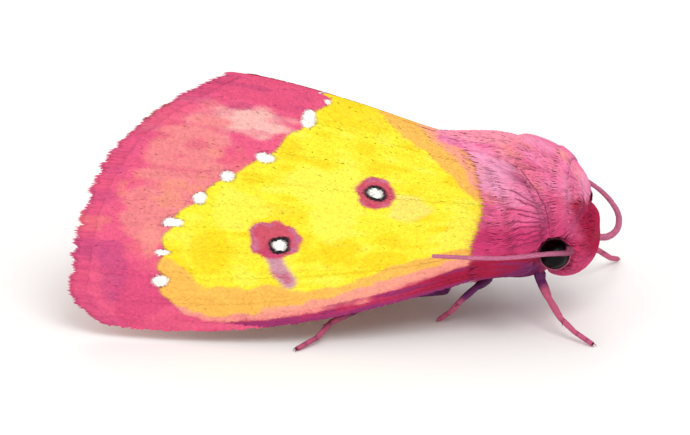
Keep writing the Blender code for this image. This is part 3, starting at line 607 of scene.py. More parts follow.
def scale_shape():
    """A flat leaf-shaped scale with a low keel: x counts its stations, y is its half width."""
    bm = bmesh.new()
    bmesh.ops.create_circle(bm, cap_ends=True, segments=len(SCALE_OUTLINE), radius=1)
    move_points(bm, [(x, y, 0.0) for x, y in SCALE_OUTLINE])
    centre = bmesh.ops.poke(bm, faces=bm.faces[:])["verts"]
    centre[0].co = SCALE_KEEL
    fill_rims(bm, len(SCALE_OUTLINE))
    return shape_arrays(bm)


def tuft_shape():
    """A tapered tuft of hair, three-sided, with four stations along it."""
    bm = grid(3, 3)
    for vert in bm.verts:
        turn = (vert.co.x + 0.5) * 2 * math.pi
        step = round((vert.co.y + 0.5) * 3)
        half = TUFT_HALF_WIDTHS[step]
        vert.co = (step, half * math.sin(turn), 2 * half * math.cos(turn))
    close_ends(bm, 3)
    return shape_arrays(bm)


def shape_arrays(bm):
    """The points and triangles of a bmesh, which is freed."""
    bmesh.ops.triangulate(bm, faces=[face for face in bm.faces if len(face.verts) > 3])
    bmesh.ops.recalc_face_normals(bm, faces=bm.faces)
    bm.verts.index_update()
    points = np.array([vert.co for vert in bm.verts])
    faces = np.array([[vert.index for vert in face.verts] for face in bm.faces])
    bm.free()
    return points, faces


def coat(name, shape, paths, normals, width, thickness, colours, unwrap, material, slot):
    """One closed copy of the shape along each path, joined in one mesh.

    paths and normals hold a few stations for each copy, and colours one for each copy or one for
    each station; unwrap is each root's place on an unwrap of the skin, from 0 to 1 both ways.
    """
    points, faces = shape
    count, stations = paths.shape[:2]
    share = points[:, 0] / points[:, 0].max()
    place = share * (stations - 1)
    low = np.minimum(place.astype(int), stations - 2)
    part = (place - low)[None, :, None]
    spine = mix(paths[:, low], paths[:, low + 1], part)
    upward = unit(mix(normals[:, low], normals[:, low + 1], part))
    tangent = unit(paths[:, low + 1] - paths[:, low])
    side = unit(np.cross(upward, tangent))
    reach = points[None, :, 1, None] * np.broadcast_to(width, count)[:, None, None]
    lift = points[None, :, 2, None] * np.broadcast_to(thickness, count)[:, None, None]
    corners = (spine + side * reach + upward * lift).reshape(-1, 3)
    corners[:, 2] = np.maximum(corners[:, 2], 0.0)  # nothing reaches under the soles
    triangles = (faces[None] + np.arange(count)[:, None, None] * len(points)).reshape(-1, 3)
    mesh = bpy.data.meshes.new(name)
    mesh.from_pydata(corners, [], triangles)
    patch = np.stack((share - 0.5, points[:, 1]), -1) * UNWRAP_PATCH
    spots = (np.clip(unwrap, 0.01, 0.99)[:, None] + patch[None]).reshape(-1, 2)
    layer = mesh.uv_layers.new(name="OFBake")
    layer.uv.foreach_set("vector", spots[triangles.ravel()].astype(np.float32).ravel())
    if colours.ndim == 2:
        colours = np.repeat(colours[:, None], stations, axis=1)
    paler_tip = (1 + TIP_LIGHTENING * (share - 0.6))[None, :, None]
    tints = mix(colours[:, low], colours[:, low + 1], part) * paler_tip
    paint(mesh, np.clip(tints, 0, 1).reshape(-1, 3))
    return finish(name, mesh, material)


def paint(mesh, colours):
    """Stores the markings on the mesh's points."""
    layer = mesh.attributes.new("Markings", "FLOAT_COLOR", "POINT")
    rows = np.ones((len(mesh.vertices), 4), np.float32)
    rows[:, :3] = colours
    layer.data.foreach_set("color", rows.ravel())


def new_object(name, data):
    obj = bpy.data.objects.new(name, data)
    bpy.context.scene.collection.objects.link(obj)
    return obj


def finish(name, mesh, material, smooth=False):
    """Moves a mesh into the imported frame, and makes it a piece that rides on the moth."""
    mesh.transform(PLACE)
    if smooth:
        mesh.shade_smooth()
    mesh.materials.append(material)
    obj = new_object(name, mesh)
    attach(obj, "root")
    return obj


def mesh_of(name, *parts):
    """One mesh from several bmeshes, which are freed."""
    joined = bmesh.new()
    for bm in parts:
        mesh = bpy.data.meshes.new("part")
        bm.to_mesh(mesh)
        bm.free()
        joined.from_mesh(mesh)
        bpy.data.meshes.remove(mesh)
    mesh = bpy.data.meshes.new(name)
    joined.to_mesh(mesh)
    joined.free()
    return mesh


# Materials

def add_node(tree, kind, inputs=None, **settings):
    """Adds a node with its settings; an input's value is a number, a colour or a socket."""
    node = tree.nodes.new(kind)
    for key, value in settings.items():
        setattr(node, key, value)
    for key, value in (inputs or {}).items():
        if isinstance(value, bpy.types.NodeSocket):
            tree.links.new(value, node.inputs[key])
        else:
            node.inputs[key].default_value = value
    return node


def new_material(name, inputs):
    """A material whose shader has these inputs."""
    material = bpy.data.materials.new(name)
    material.use_nodes = True
    tree = material.node_tree
    tree.nodes.clear()
    shader = add_node(tree, "ShaderNodeBsdfPrincipled", inputs)
    output = add_node(tree, "ShaderNodeOutputMaterial")
    tree.links.new(shader.outputs["BSDF"], output.inputs["Surface"])
    return material, tree, shader


def scale_material(name, roughness, sheen, grain_mm):
    """Scales or hair of chitin: matt powdery colour with a soft bloom where light grazes it."""
    material, tree, shader = new_material(name, {
        "Roughness": roughness, "Sheen Weight": sheen, "Sheen Roughness": 0.4, "Specular IOR Level": 0.2,
    })
    place = add_node(tree, "ShaderNodeTexCoord").outputs["Object"]
    grain = add_node(
        tree, "ShaderNodeTexNoise", {"Vector": place, "Scale": 1 / (grain_mm * MM), "Detail": 3.0},
    )
    shade = add_node(
        tree, "ShaderNodeMapRange",
        {"Value": grain.outputs["Fac"], "From Min": 0.3, "From Max": 0.7, "To Min": 0.84, "To Max": 0.98},
    )
    marking = add_node(tree, "ShaderNodeAttribute", attribute_name="Markings")
    tinted = add_node(
        tree, "ShaderNodeVectorMath",
        {0: marking.outputs["Color"], "Scale": shade.outputs["Result"]}, operation="SCALE",
    )
    tree.links.new(tinted.outputs["Vector"], shader.inputs["Base Color"])
    relief = add_node(
        tree, "ShaderNodeBump",
        {"Height": grain.outputs["Fac"], "Distance": GRAIN_RELIEF * MM, "Strength": 0.4},
    )
    tree.links.new(relief.outputs["Normal"], shader.inputs["Normal"])
    return material


def eye_material():
    """The wet-looking cornea of a compound eye: near black, with small facets."""
    material, tree, shader = new_material("eye_cornea", {
        "Base Color": (*linear("eye"), 1), "Roughness": 0.3, "Specular IOR Level": 0.12,
    })
    place = add_node(tree, "ShaderNodeTexCoord").outputs["Object"]
    facets = add_node(tree, "ShaderNodeTexVoronoi", {"Vector": place, "Scale": 1 / (FACET_SIZE * MM)})
    relief = add_node(
        tree, "ShaderNodeBump",
        {"Height": facets.outputs["Distance"], "Distance": FACET_RELIEF * MM, "Strength": 0.5},
        invert=True,
    )
    tree.links.new(relief.outputs["Normal"], shader.inputs["Normal"])
    return material


# Markings

def layered(colours, *layers):
    """The colours with layers laid on in turn, each a colour's name and its weight."""
    for name, weight in layers:
        colours = mix(colours, linear(name), np.asarray(weight)[..., None])
    return colours


def plain(name, count):
    return np.broadcast_to(linear(name), (count, 3))


def mottle(places, size, seed):
    """Soft irregular blotches, mostly between -1 and 1, about size millimetres across."""
    draw = np.random.default_rng(seed)
    ways = unit(draw.normal(0, 1, (9, places.shape[-1]))) * draw.uniform(0.6, 1.7, (9, 1))
    waves = np.sin(places @ ways.T * np.pi / size + draw.uniform(0, 2 * np.pi, 9))
    return waves.sum(-1) / 2.4


def patched(colours, patches, x, t, ragged):
    """The colours with soft-edged patches of other colours laid on."""
    for name, strength, patch_x, patch_t, half_length, half_width in patches:
        away = np.hypot((x - patch_x) / half_length, (t - patch_t) * WING_SPAN / half_width)
        colours = layered(colours, (name, strength * (1 - ease(0.75, 1.1, away + 0.2 * ragged))))
    return colours


def line_weight(places, line, half_width):
    """The weight at each place of a line drawn through the points of line."""
    line = np.array(line, float)
    away = np.full(places.shape[:-1], np.inf)
    for start, way in zip(line[:-1], np.diff(line, axis=0)):
        share = np.clip((places - start) @ way / (way @ way), 0, 1)
        away = np.minimum(away, np.linalg.norm(places - start - share[..., None] * way, axis=-1))
    return 1 - ease(half_width * 0.6, half_width * 1.4, away)


def wing_markings(x, t):
    """The colour of the forewing at each x and t."""
    places = np.stack((x, t * WING_SPAN), -1)
    streaks = mottle(places * (0.28, 1.3), 0.3, 1)
    blots = mottle(places, 0.9, 2)
    grain = mottle(places * (0.6, 1.0), 0.22, 3)
    ragged = 0.6 * blots + 0.4 * streaks
    wavy = t + 0.005 * grain + 0.006 * blots
    past_crimson = wavy - curve(CRIMSON_LINE, x)
    costal = ease(-0.014, 0.014, wavy + 0.008 * streaks - curve(CRIMSON_LINE, x))
    orange_top = ease(1.2, 1.5, x) * (1 - ease(-0.01, 0.01, wavy - curve(ORANGE_TOP, x)))
    salmon_top = ease(2.3, 2.6, x) * (1 - ease(-0.015, 0.03, wavy - curve(SALMON_TOP, x)))
    colours = layered(
        plain("yellow", len(x)), ("deep yellow", 0.75 * ease(0.2, 1.0, ragged)),
        ("pale yellow", 0.7 * ease(0.3, 1.0, -ragged)),
    )
    colours = layered(
        patched(colours, YELLOW_PATCHES, x, t, ragged),
        ("orange", 0.95 * orange_top),
        ("salmon", 0.9 * salmon_top),
        ("orange", 0.5 * ease(-0.4, 0.0, x + 0.1 * grain - curve(SEAM, t))),
        ("orange", 0.95 * ease(-0.008, 0.008, wavy - curve(ORANGE_LINE, x))),
        ("salmon", 0.95 * ease(-0.006, 0.012, wavy - curve(SALMON_LINE, x))),
        ("pink", 0.4 * ease(-0.03, 0.0, past_crimson)),
        ("crimson", 0.95 * costal),
        ("deep crimson", 0.85 * costal * ease(1.4, 3.6, x)),
        ("streak", 0.6 * costal * ease(0.2, 0.9, streaks)),
        ("streak", 0.7 * ease(0.97, 0.99, t) * ease(-5.5, -3.5, x)),
    )

    scallop = SCALLOP_DEPTH * np.sin(2 * np.pi * t / SCALLOP_SPACING) + 0.02 * grain
    past = curve(YELLOW_EDGE, t) + scallop - x  # millimetres into the pink
    to_edge = x - curve(TERMEN, t)
    pink = layered(
        patched(plain("pink", len(x)), PINK_PATCHES, x, t, ragged),
        ("orange", 0.18 * ease(0.6, 1.1, blots + 0.4 * grain) * bump(0.45, 0.4, t)),
        ("magenta", 0.6 * (1 - ease(0.1, 0.7, to_edge + 0.3 * ragged))),
        ("streak", 0.3 * ease(0.5, 1.1, streaks) * (1 - ease(0.1, 0.16, t))),
        ("hump pink", 0.45 * ease(0.3, 1.0, streaks) * bump(0.25, 0.3, t)),
        ("lower pink", 0.4 * ease(0.3, 1.0, -streaks) * ease(0.55, 0.75, t)),
    )
    colours = mix(colours, pink, ease(-0.01, 0.04, past)[:, None])
    colours = layered(colours, ("edge line", 0.5 * bump(0.015, 0.05, past) * (1 - ease(0.9, 0.94, t))))
    for place, half_long, half_wide, raggedness in WHITE_SPOTS:
        along = (t - place) * WING_SPAN / half_long
        away = np.hypot(along, (x - curve(YELLOW_EDGE, place)) / half_wide) + raggedness * grain
        white = 1 - ease(0.92, 1.06, away)
        colours = layered(colours, ("edge line", 0.6 * bump(1.1, 0.24, away)), ("white", white))
    return with_eyespots(colours, x, t, places, blots, grain)


def with_eyespots(colours, x, t, places, blots, grain):
    """The colours with the eyespots laid on, the rear one with its upper lobe and its tail."""
    def away_from(spot_x, spot_t, half_long, half_wide):
        return np.hypot((x - spot_x) / half_long, (t - spot_t) * WING_SPAN / half_wide)

    for spot_x, spot_t, pupil, ring, *blot in EYESPOTS:
        away = away_from(*blot)
        if blot[0] < 0:
            away = np.minimum(away, away_from(*EYESPOT_LOBE))
            middle_line = np.array(EYESPOT_TAIL) * (1, WING_SPAN)
            tail = line_weight(places + 0.02 * grain[:, None], middle_line, EYESPOT_TAIL_HALF_WIDTH)
            colours = layered(
                colours, ("ring lilac", 0.9 * tail),
                ("ring pink", 0.5 * tail * ease(0.0, 0.8, blots + grain)),
            )
        away = away + 0.05 * grain
        centre = away_from(spot_x, spot_t, 1, 0.88) + 0.02 * grain
        colours = layered(
            colours,
            ("ring pink", 0.95 * (1 - ease(0.9, 1.04, away))),
            ("crimson", 0.55 * bump(0.9, 0.13, away) * ease(-0.5, 0.5, blots + 0.5 * grain)),
            ("ring lilac", 0.6 * bump(0.8, 0.2, away) * ease(0.0, 0.8, blots - 0.6 * grain)),
            ("ring", 1 - ease(ring - 0.025, ring + 0.025, centre)),
            ("pupil", 1 - ease(pupil - 0.02, pupil + 0.02, centre)),
        )
    return colours


def side_view(points):
    """How far right and up each point appears to one who looks at its side of the moth."""
    x, y, z = points[..., 0], -np.abs(points[..., 1]), points[..., 2]
    right = x * math.cos(CAMERA_TURN) + y * math.sin(CAMERA_TURN)
    back = y * math.cos(CAMERA_TURN) - x * math.sin(CAMERA_TURN)
    return np.stack((right, z * math.cos(CAMERA_TILT) + back * math.sin(CAMERA_TILT)), -1)


def body_markings(points):
    """The colour of the body at each point, from its place on the moth."""
    x, _, z = points.T
    view = side_view(points)
    right, up = view.T
    blots = mottle(view, 0.5, 21)
    fine = mottle(view * (0.5, 1.2), 0.16, 22)
    colours = layered(
        plain("thorax", len(x)),
        ("thorax low", 0.7 * (1 - ease(1.9, 3.1, up + 0.25 * blots))),
        # painted highlight: lilac blotches over the upper thorax
        ("lilac", 0.3 * ease(0.2, 1.0, blots) * ease(2.4, 3.2, up)),
        ("thorax top", 0.4 * ease(0.2, 1.0, -blots) * ease(2.8, 3.6, up)),
    )
    for name, strength, at_right, at_up, half_length, half_width, slant in BODY_PATCHES:
        turn = math.radians(slant)
        along = (right - at_right) * math.cos(turn) - (up - at_up) * math.sin(turn)
        across = (right - at_right) * math.sin(turn) + (up - at_up) * math.cos(turn)
        away = np.hypot(along / half_length, across / half_width) + 0.2 * blots + 0.1 * fine
        colours = layered(colours, (name, strength * (1 - ease(0.65, 1.1, away))))
    in_front = 1 - ease(5.6, 5.9, right)
    strip = (1 - ease(-0.03, 0.03, up + 0.04 * fine - curve(STRIP_TOP, right))) * in_front
    return layered(
        colours,
        ("hair line", 0.22 * ease(0.4, 1.0, fine)),
        # painted shade along the flap's front edge and in the crease behind the head
        *(("hair line", 0.6 * line_weight(view, line, 0.06)) for line in BODY_SHADE_LINES),
        ("deep crimson", 0.95 * strip),
        ("streak", 0.75 * strip * ease(0.1, 0.7, mottle(view * (0.25, 1.6), 0.18, 23))),
        # painted shadow: the belly under the strip in the legs' dark purple
        ("leg", 0.8 * (1 - ease(-0.08, 0.06, up - curve(STRIP_BOTTOM, right))) * in_front),
        ("abdomen", 1 - ease(2.4, 3.0, x)),
        ("leg", 1 - ease(1.0, 1.3, z)),
    )


def varied(colours, draw, spread):
    """The colours, each copy a little lighter or darker."""
    return np.clip(colours * draw.uniform(1 - spread, 1 + spread, (len(colours), 1)), 0, 1)


def tuft_colours(paths, draw, spread):
    """Body markings at each tuft's stations, one tuft lighter or darker than the next."""
    tints = body_markings(paths.reshape(-1, 3)).reshape(paths.shape)
    tints = mix(tints, tints[:, 1:2], 0.3)
    return np.clip(tints * draw.uniform(1 - spread, 1 + spread, (len(paths), 1, 1)), 0, 1)


# Where the copies of a coat go

def scattered(draw, count, low, high):
    """Evenly spread random places between two corners, by a low-discrepancy sequence."""
    steps = np.arange(count)[:, None] * np.array((0.7548776662466927, 0.5698402909980532))
    places = (steps + draw.uniform(0, 1, 2)) % 1.0
    return np.asarray(low) + places * (np.asarray(high) - np.asarray(low))


def tile_places(rows, columns, draw):
    """Places in staggered uneven rows, like roof tiles, as two shares from 0 to 1."""
    row, column = np.meshgrid(np.arange(rows), np.arange(columns), indexing="ij")
    s = (row + 0.5 + draw.uniform(-0.35, 0.35, row.shape)) / rows
    t = (column + 0.5 * (row % 2) + draw.uniform(-0.3, 0.3, row.shape)) / columns
    return s.ravel(), np.clip(t.ravel(), 0, 1)


def swept(starts, lengths, stations=HAIR_STATIONS):
    """The x or other place of each copy's stations, which lie back from where it starts."""
    return starts[:, None] - np.broadcast_to(lengths, len(starts))[:, None] * stations


def straying(values, draw, spread, stations=HAIR_STATIONS):
    """The value at each copy's stations, more and more off its first towards the tip."""
    return values[:, None] + draw.normal(0, spread, len(values))[:, None] * stations


def unwrap_round(x, start, span, turn):
    """Places on an unwrap of a round body, from x and the turn from its top."""
    return np.stack(((x - start) / span, 0.5 + turn / (2 * np.pi)), -1)


def on_side(points, side):
    """The points of the right-hand side, mirrored for the left."""
    return points * np.array((1, -1, 1)) if side == "left" else points


def over_wing(x, t, height, side):
    """Paths and normals over one side of the roof of wings."""
    return on_side(roof(x, t, height), side), on_side(roof_normal(x, t), side)


def termen_of(t, side):
    return curve(TERMEN, t) + (curve(LEFT_SWING, t) if side == "left" else 0.0)


def vein_rise(veins, s, t):
    rise = np.zeros_like(t)
    for place, start in veins:
        ridge = bump(place, VEIN_HALF_WIDTH, t) * ease(start - 0.02, start + 0.06, s)
        rise = np.maximum(rise, ridge * (1 - 0.5 * s))
    return VEIN_HEIGHT * rise


# Wings

def make_membrane(wing, side, faces, place_of, top, bottom, tint_of, material):
    """A wing's closed sheet: place_of gives its x and t, top and bottom its faces' heights."""
    def face_at(height_of):
        def face(s, t):
            return on_side(roof(*place_of(s, t), height_of(s, t)), side)

        return face

    bm, shares, is_inner = slab(*faces, face_at(top), face_at(bottom))
    mesh = mesh_of(f"{wing}_{side}_membrane", bm)
    paint(mesh, tint_of(shares, is_inner))
    membrane = finish(mesh.name, mesh, material, smooth=True)
    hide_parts(f"{wing}_{side}")


def make_forewing(side, material):
    """The membrane of a forewing with its veins, its overlapping scales and its fringe."""
    def place_of(s, t):
        return mix(WING_FRONT + 0.2, termen_of(t, side) + 0.12, s), t

    def top(s, t):
        return vein_rise(FOREWING_VEINS, s, t) - MEMBRANE_DEPTH

    def bottom(s, t):
        return -MEMBRANE_DEPTH - MEMBRANE_THICKNESS * (1 - 0.6 * s)

    def tint_of(shares, is_inner):
        tint = wing_markings(*place_of(*shares.T))
        tint[is_inner] = mix(tint[is_inner], linear("underside"), 0.75)
        return tint

    slot = "wing_scales_yellow"
    make_membrane("forewing", side, FOREWING_FACES, place_of, top, bottom, tint_of, material)
    draw = np.random.default_rng(SEED)
    s, t = tile_places(*WING_ROWS, draw)
    x = place_of(s, t)[0]
    for part, chosen in (("upper", t < 0.5), ("lower", t >= 0.5)):
        name = f"forewing_{side}_scales_{part}"
        lay_wing_scales(name, side, s[chosen], t[chosen], x[chosen], draw, material, slot)
    make_fringe(side, draw, material, slot)
    make_ridge_fringe(side, draw, material, slot)


def lay_wing_scales(name, side, s, t, x, draw, material, slot):
    """Scales with their roots at x and t, which point to the outer edge and end on its markings."""
    length = WING_SCALE[0] * draw.uniform(0.85, 1.15, len(x))
    path_x = swept(x + 0.06, length, SCALE_STATIONS)
    path_t = np.clip(straying(t, draw, 0.004, SCALE_STATIONS), 0, 1)
    height = vein_rise(FOREWING_VEINS, s, t)[:, None] - MEMBRANE_DEPTH + WING_SCALE_LIE
    tints = wing_markings(path_x.ravel(), path_t.ravel()).reshape(*path_x.shape, 3)
    tints = tints * draw.uniform(0.9, 1.06, (len(x), 1, 1))
    span = np.linalg.norm(roof(x, 1.0) - roof(x, 0.0), axis=-1)
    width = WING_SCALE[1] * span / WING_SPAN * draw.uniform(0.9, 1.15, len(x))
    coat(
        name, scale_shape(), *over_wing(path_x, path_t, height, side), width, WING_SCALE[2],
        tints, np.stack((s, t), -1), material, slot,
    )


def make_fringe(side, draw, material, slot):
    """Long narrow scales in layers that stand out past the outer edge."""
    rows, per_row = FRINGE_ROWS
    t = np.tile(np.linspace(0.0, 0.995, per_row), rows) + draw.uniform(-0.001, 0.001, per_row * rows)
    t = np.clip(t, 0, 1)
    layer = np.repeat(np.arange(rows), per_row)
    start = termen_of(t, side) + 0.22 + 0.05 * layer
    down = np.stack((t * WING_SPAN, 0 * t), -1)
    ragged = mottle(down, 0.16, 31) + mottle(down, 0.5, 32)
    length = 0.2 + FRINGE_LENGTH * draw.uniform(0.75, 1.0, len(t)) * (0.8 + 0.14 * ragged)
    path_x = swept(start, length)
    path_t = np.clip(straying(t, draw, 0.004), 0, 1)
    height = np.array(FRINGE_LIE) + 0.02 * layer[:, None]
    colours = layered(wing_markings(start + 0.15, t), ("magenta", np.full(len(t), 0.1)))
    coat(
        f"forewing_{side}_fringe", tuft_shape(), *over_wing(path_x, path_t, height, side), *FRINGE_SCALE,
        varied(colours, draw, 0.12), np.stack((0.02 + 0.02 * layer, t), -1), material, slot,
    )


def make_ridge_fringe(side, draw, material, slot):
    """Scales along the wing's upper edge that close the gap between the two wings."""
    x = np.sort(draw.uniform(*RIDGE_FRINGE_REACH, RIDGE_FRINGE_SCALES))
    path_x = swept(x, RIDGE_FRINGE_LENGTH)
    paths = roof(path_x, np.full_like(path_x, 0.004), np.full_like(path_x, -0.02))
    paths[..., 1] += draw.uniform(*RIDGE_FRINGE_INWARD, len(x))[:, None] * HAIR_STATIONS
    paths[..., 2] += 0.02 * np.sin(np.pi * HAIR_STATIONS)
    normals = np.broadcast_to((0.0, 0.0, 1.0), paths.shape)
    colours = varied(wing_markings(x, np.full(len(x), 0.01)), draw, 0.12)
    coat(
        f"forewing_{side}_ridge_fringe", tuft_shape(), on_side(paths, side), normals,
        *RIDGE_FRINGE_SCALE, colours, np.stack(((x + 8) / 14, np.full(len(x), 0.02)), -1), material, slot,
    )


def make_hindwing(side, material):
    """The pleated hindwing that lies under the forewing."""
    def place_of(s, t):
        place = mix(HINDWING_BAND[0], HINDWING_BAND[1], t)
        return mix(HINDWING_FRONT, curve(HINDWING_TERMEN, place), s), place

    def top(s, t):
        return 0.6 * vein_rise(HINDWING_VEINS, s, t) - HINDWING_DEPTH

    def bottom(s, t):
        return np.full_like(s, -HINDWING_DEPTH - HINDWING_THICKNESS)

    def colours_at(s):
        return layered(plain("hindwing", len(s)), ("salmon pink", ease(0.75, 1.0, s)))

    def tint_of(shares, is_inner):
        return colours_at(shares[:, 0])

    slot = "hindwing_scales"
    make_membrane("hindwing", side, HINDWING_FACES, place_of, top, bottom, tint_of, material)
    draw = np.random.default_rng(SEED + 1)
    s, t = scattered(draw, HINDWING_SCALES, (0.0, 0.0), (1.0, 1.0)).T
    x, place = place_of(s, t)
    length, width, thickness = HINDWING_SCALE
    path_x = swept(x + 0.1, length, SCALE_STATIONS)
    path_t = np.broadcast_to(place[:, None], path_x.shape)
    height = -HINDWING_DEPTH + np.array(HINDWING_SCALE_LIE) + np.zeros_like(path_x)
    coat(
        f"hindwing_{side}_scales", scale_shape(), *over_wing(path_x, path_t, height, side), width,
        thickness, varied(colours_at(s), draw, 0.08), np.stack((s, t), -1), material, slot,
    )


# Body, legs and head

def cape_height(x, t):
    """How high the thorax coat stands above the wing between the shoulder and its seam."""
    return 0.03 + CAPE_HEIGHT * ease(0.0, 1.0, (x - curve(SEAM, t)) / (SHOULDER + 0.3 - curve(SEAM, t)))


def palp_line(sign, count):
    """The centres and radii of one palp."""
    radii = np.interp(np.linspace(0, 1, count), np.linspace(0, 1, len(PALP_RADII)), PALP_RADII)
    return spline(np.array(PALP_POINTS) * (1, sign, 1), count), radii


def make_body(material):
    """One skin over the head, thorax, abdomen, palps and legs."""
    def thorax(around, along):
        rings = np.array(THORAX_RINGS)
        place = along * (len(rings) - 1)
        low = np.minimum(place.astype(int), len(rings) - 2)
        values = mix(rings[low], rings[low + 1], (place - low)[:, None])
        values[:, 1:3] -= BODY_COAT_DEPTH
        values[:, 3] += BODY_COAT_DEPTH
        return ring_point(values[:, 0], values[:, 1:].T, around * 2 * np.pi)

    def abdomen(around, along):
        x = mix(ABDOMEN_FRONT, ABDOMEN_REAR, along)
        return abdomen_point(x, around * 2 * np.pi, np.full_like(x, -ABDOMEN_COAT_DEPTH))[0]

    def head(around, along):
        lift = np.pi * along
        return head_point(lift, around * 2 * np.pi, np.full_like(lift, -HEAD_COAT_DEPTH))[0]

    parts = [loft(*THORAX_FACES, thorax), loft(*ABDOMEN_FACES, abdomen), loft(*HEAD_FACES, head)]
    parts.append(ball(NECK_CENTRE, NECK_RADIUS, 24, 16))
    crest = np.array([(x, 0.0, z - CREST_SIZE[1]) for x, z in CREST])
    parts.append(tube(spline(crest, 16), np.full(16, CREST_SIZE[1] - 0.08), 16, (0, 1, 0)))
    for side, sign in SIDES.items():
        def cape_x(s, t):
            return mix(SHOULDER + 0.4, curve(SEAM, t) + 0.15, s)

        def outer(s, t):
            return on_side(roof(cape_x(s, t), t, cape_height(cape_x(s, t), t) - CAPE_DEPTHS[0]), side)

        def inner(s, t):
            return on_side(roof(cape_x(s, t), t, np.full_like(s, -CAPE_DEPTHS[1])), side)

        parts.append(slab(*CAPE_FACES, outer, inner)[0])
        palp, radii = palp_line(sign, 16)
        parts.append(tube(palp, radii - 0.03, LIMB_SIDES, (0, 1, 0)))
    for centres, radii, across in leg_lines().values():
        parts.append(tube(centres, radii, LIMB_SIDES, across))

    skin_mesh = one_skin("body_skin", mesh_of("body_rough", *parts))
    points = np.zeros(len(skin_mesh.vertices) * 3)
    skin_mesh.vertices.foreach_get("co", points)
    points = sink_eye_sockets(points.reshape(-1, 3))
    points[:, 2] = np.maximum(points[:, 2], 0.0)
    skin_mesh.vertices.foreach_set("co", points.ravel())
    paint(skin_mesh, body_markings(points) * 0.8)
    skin = finish("body_skin", skin_mesh, material, smooth=True)
    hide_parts("thorax", "head", "abdomen", *LEG_JOINTS)


def one_skin(name, mesh):
    """A single closed skin round all the bodies of a mesh."""
    rough = new_object("body_rough", mesh)
    remesh = rough.modifiers.new("one_skin", "REMESH")
    remesh.mode = "VOXEL"
    remesh.voxel_size = SKIN_VOXEL
    soften = rough.modifiers.new("soften", "SMOOTH")
    soften.factor = 0.5
    soften.iterations = 2
    skin_mesh = bpy.data.meshes.new_from_object(rough.evaluated_get(bpy.context.evaluated_depsgraph_get()))
    bpy.data.objects.remove(rough)
    skin_mesh.name = name
    return skin_mesh


def eye_frame(points):
    """How far each point lies out along the way that the nearer eye faces, and from that line."""
    facing = unit(np.array(EYE_FACING))
    away = np.stack((points[..., 0], np.abs(points[..., 1]), points[..., 2]), -1) - np.array(EYE_CENTRE)
    out = away @ facing
    return out, np.sqrt(np.maximum((away ** 2).sum(-1) - out ** 2, 0))


def sink_eye_sockets(points):
    """The points of the skin, pressed in round each eye as a shallow crater."""
    out, aside = eye_frame(points)
    start, end = EYE_SOCKET
    limit = np.where(aside < end, 0.6 * np.clip((aside - start) / (end - start), 0, 1) - 0.05, np.inf)
    facing = unit(np.array(EYE_FACING)) * np.where(points[:, 1:2] < 0, (1, -1, 1), (1, 1, 1))
    return points - facing * np.maximum(out - limit, 0)[:, None]


def clear_of_eyes(paths):
    """Which paths leave both eyes uncovered."""
    out, aside = eye_frame(paths)
    return ~((aside < EYE_RADIUS + 0.05) & (out > -0.3)).any(axis=-1)


def leg_lines():
    """Each leg's centres, radii and sideways direction, by its name."""
    lines = {}
    for name, joints in LEG_JOINTS.items():
        joints = np.array(joints)
        centres, radii = [], []
        for i, (start, middle, end) in enumerate(LEG_RADII):
            for step in range(BONE_STEPS):
                place = step / BONE_STEPS
                centres.append(mix(joints[i], joints[i + 1], place))
                radii.append(np.interp(place, (0, 0.45, 1), (start, middle, end)))
        centres.append(joints[-1])
        radii.append(LEG_RADII[-1][2])
        heading = joints[-1] - joints[1]
        across = unit(np.array((-heading[1], heading[0], 0.0)))
        lines[name] = (np.array(centres), np.array(radii), across)
    return lines


def limb_coat(name, centres, radii, across, scales, colour_of, first, material, slot):
    """Small scales that lie towards the tip of a limb, from the share of it where they start."""
    count, length, width = scales
    draw = np.random.default_rng(SEED + count)
    up, side = limb_frames(centres, across)
    s, turn = scattered(draw, count, (first, 0.0), (0.985, 2 * np.pi)).T
    total = np.linalg.norm(np.diff(centres, axis=0), axis=1).sum()
    place = np.clip(s[:, None] + length / total * SCALE_STATIONS, 0, 1)
    knots = np.linspace(0, 1, len(centres))

    def along(rows):
        return np.stack([np.interp(place, knots, rows[:, k]) for k in range(3)], -1)

    outward = unit(along(up) * np.cos(turn)[:, None, None] + along(side) * np.sin(turn)[:, None, None])
    reach = np.interp(place, knots, radii) + LIMB_SCALE_LIE
    paths = along(centres) + outward * reach[..., None]
    clear = clear_of_eyes(paths) | name.startswith("antenna")
    coat(
        name, scale_shape(), paths[clear], outward[clear], width, LIMB_SCALE_THICKNESS,
        varied(colour_of(s, paths), draw, 0.14)[clear],
        np.stack((s, turn / (2 * np.pi)), -1)[clear], material, slot,
    )


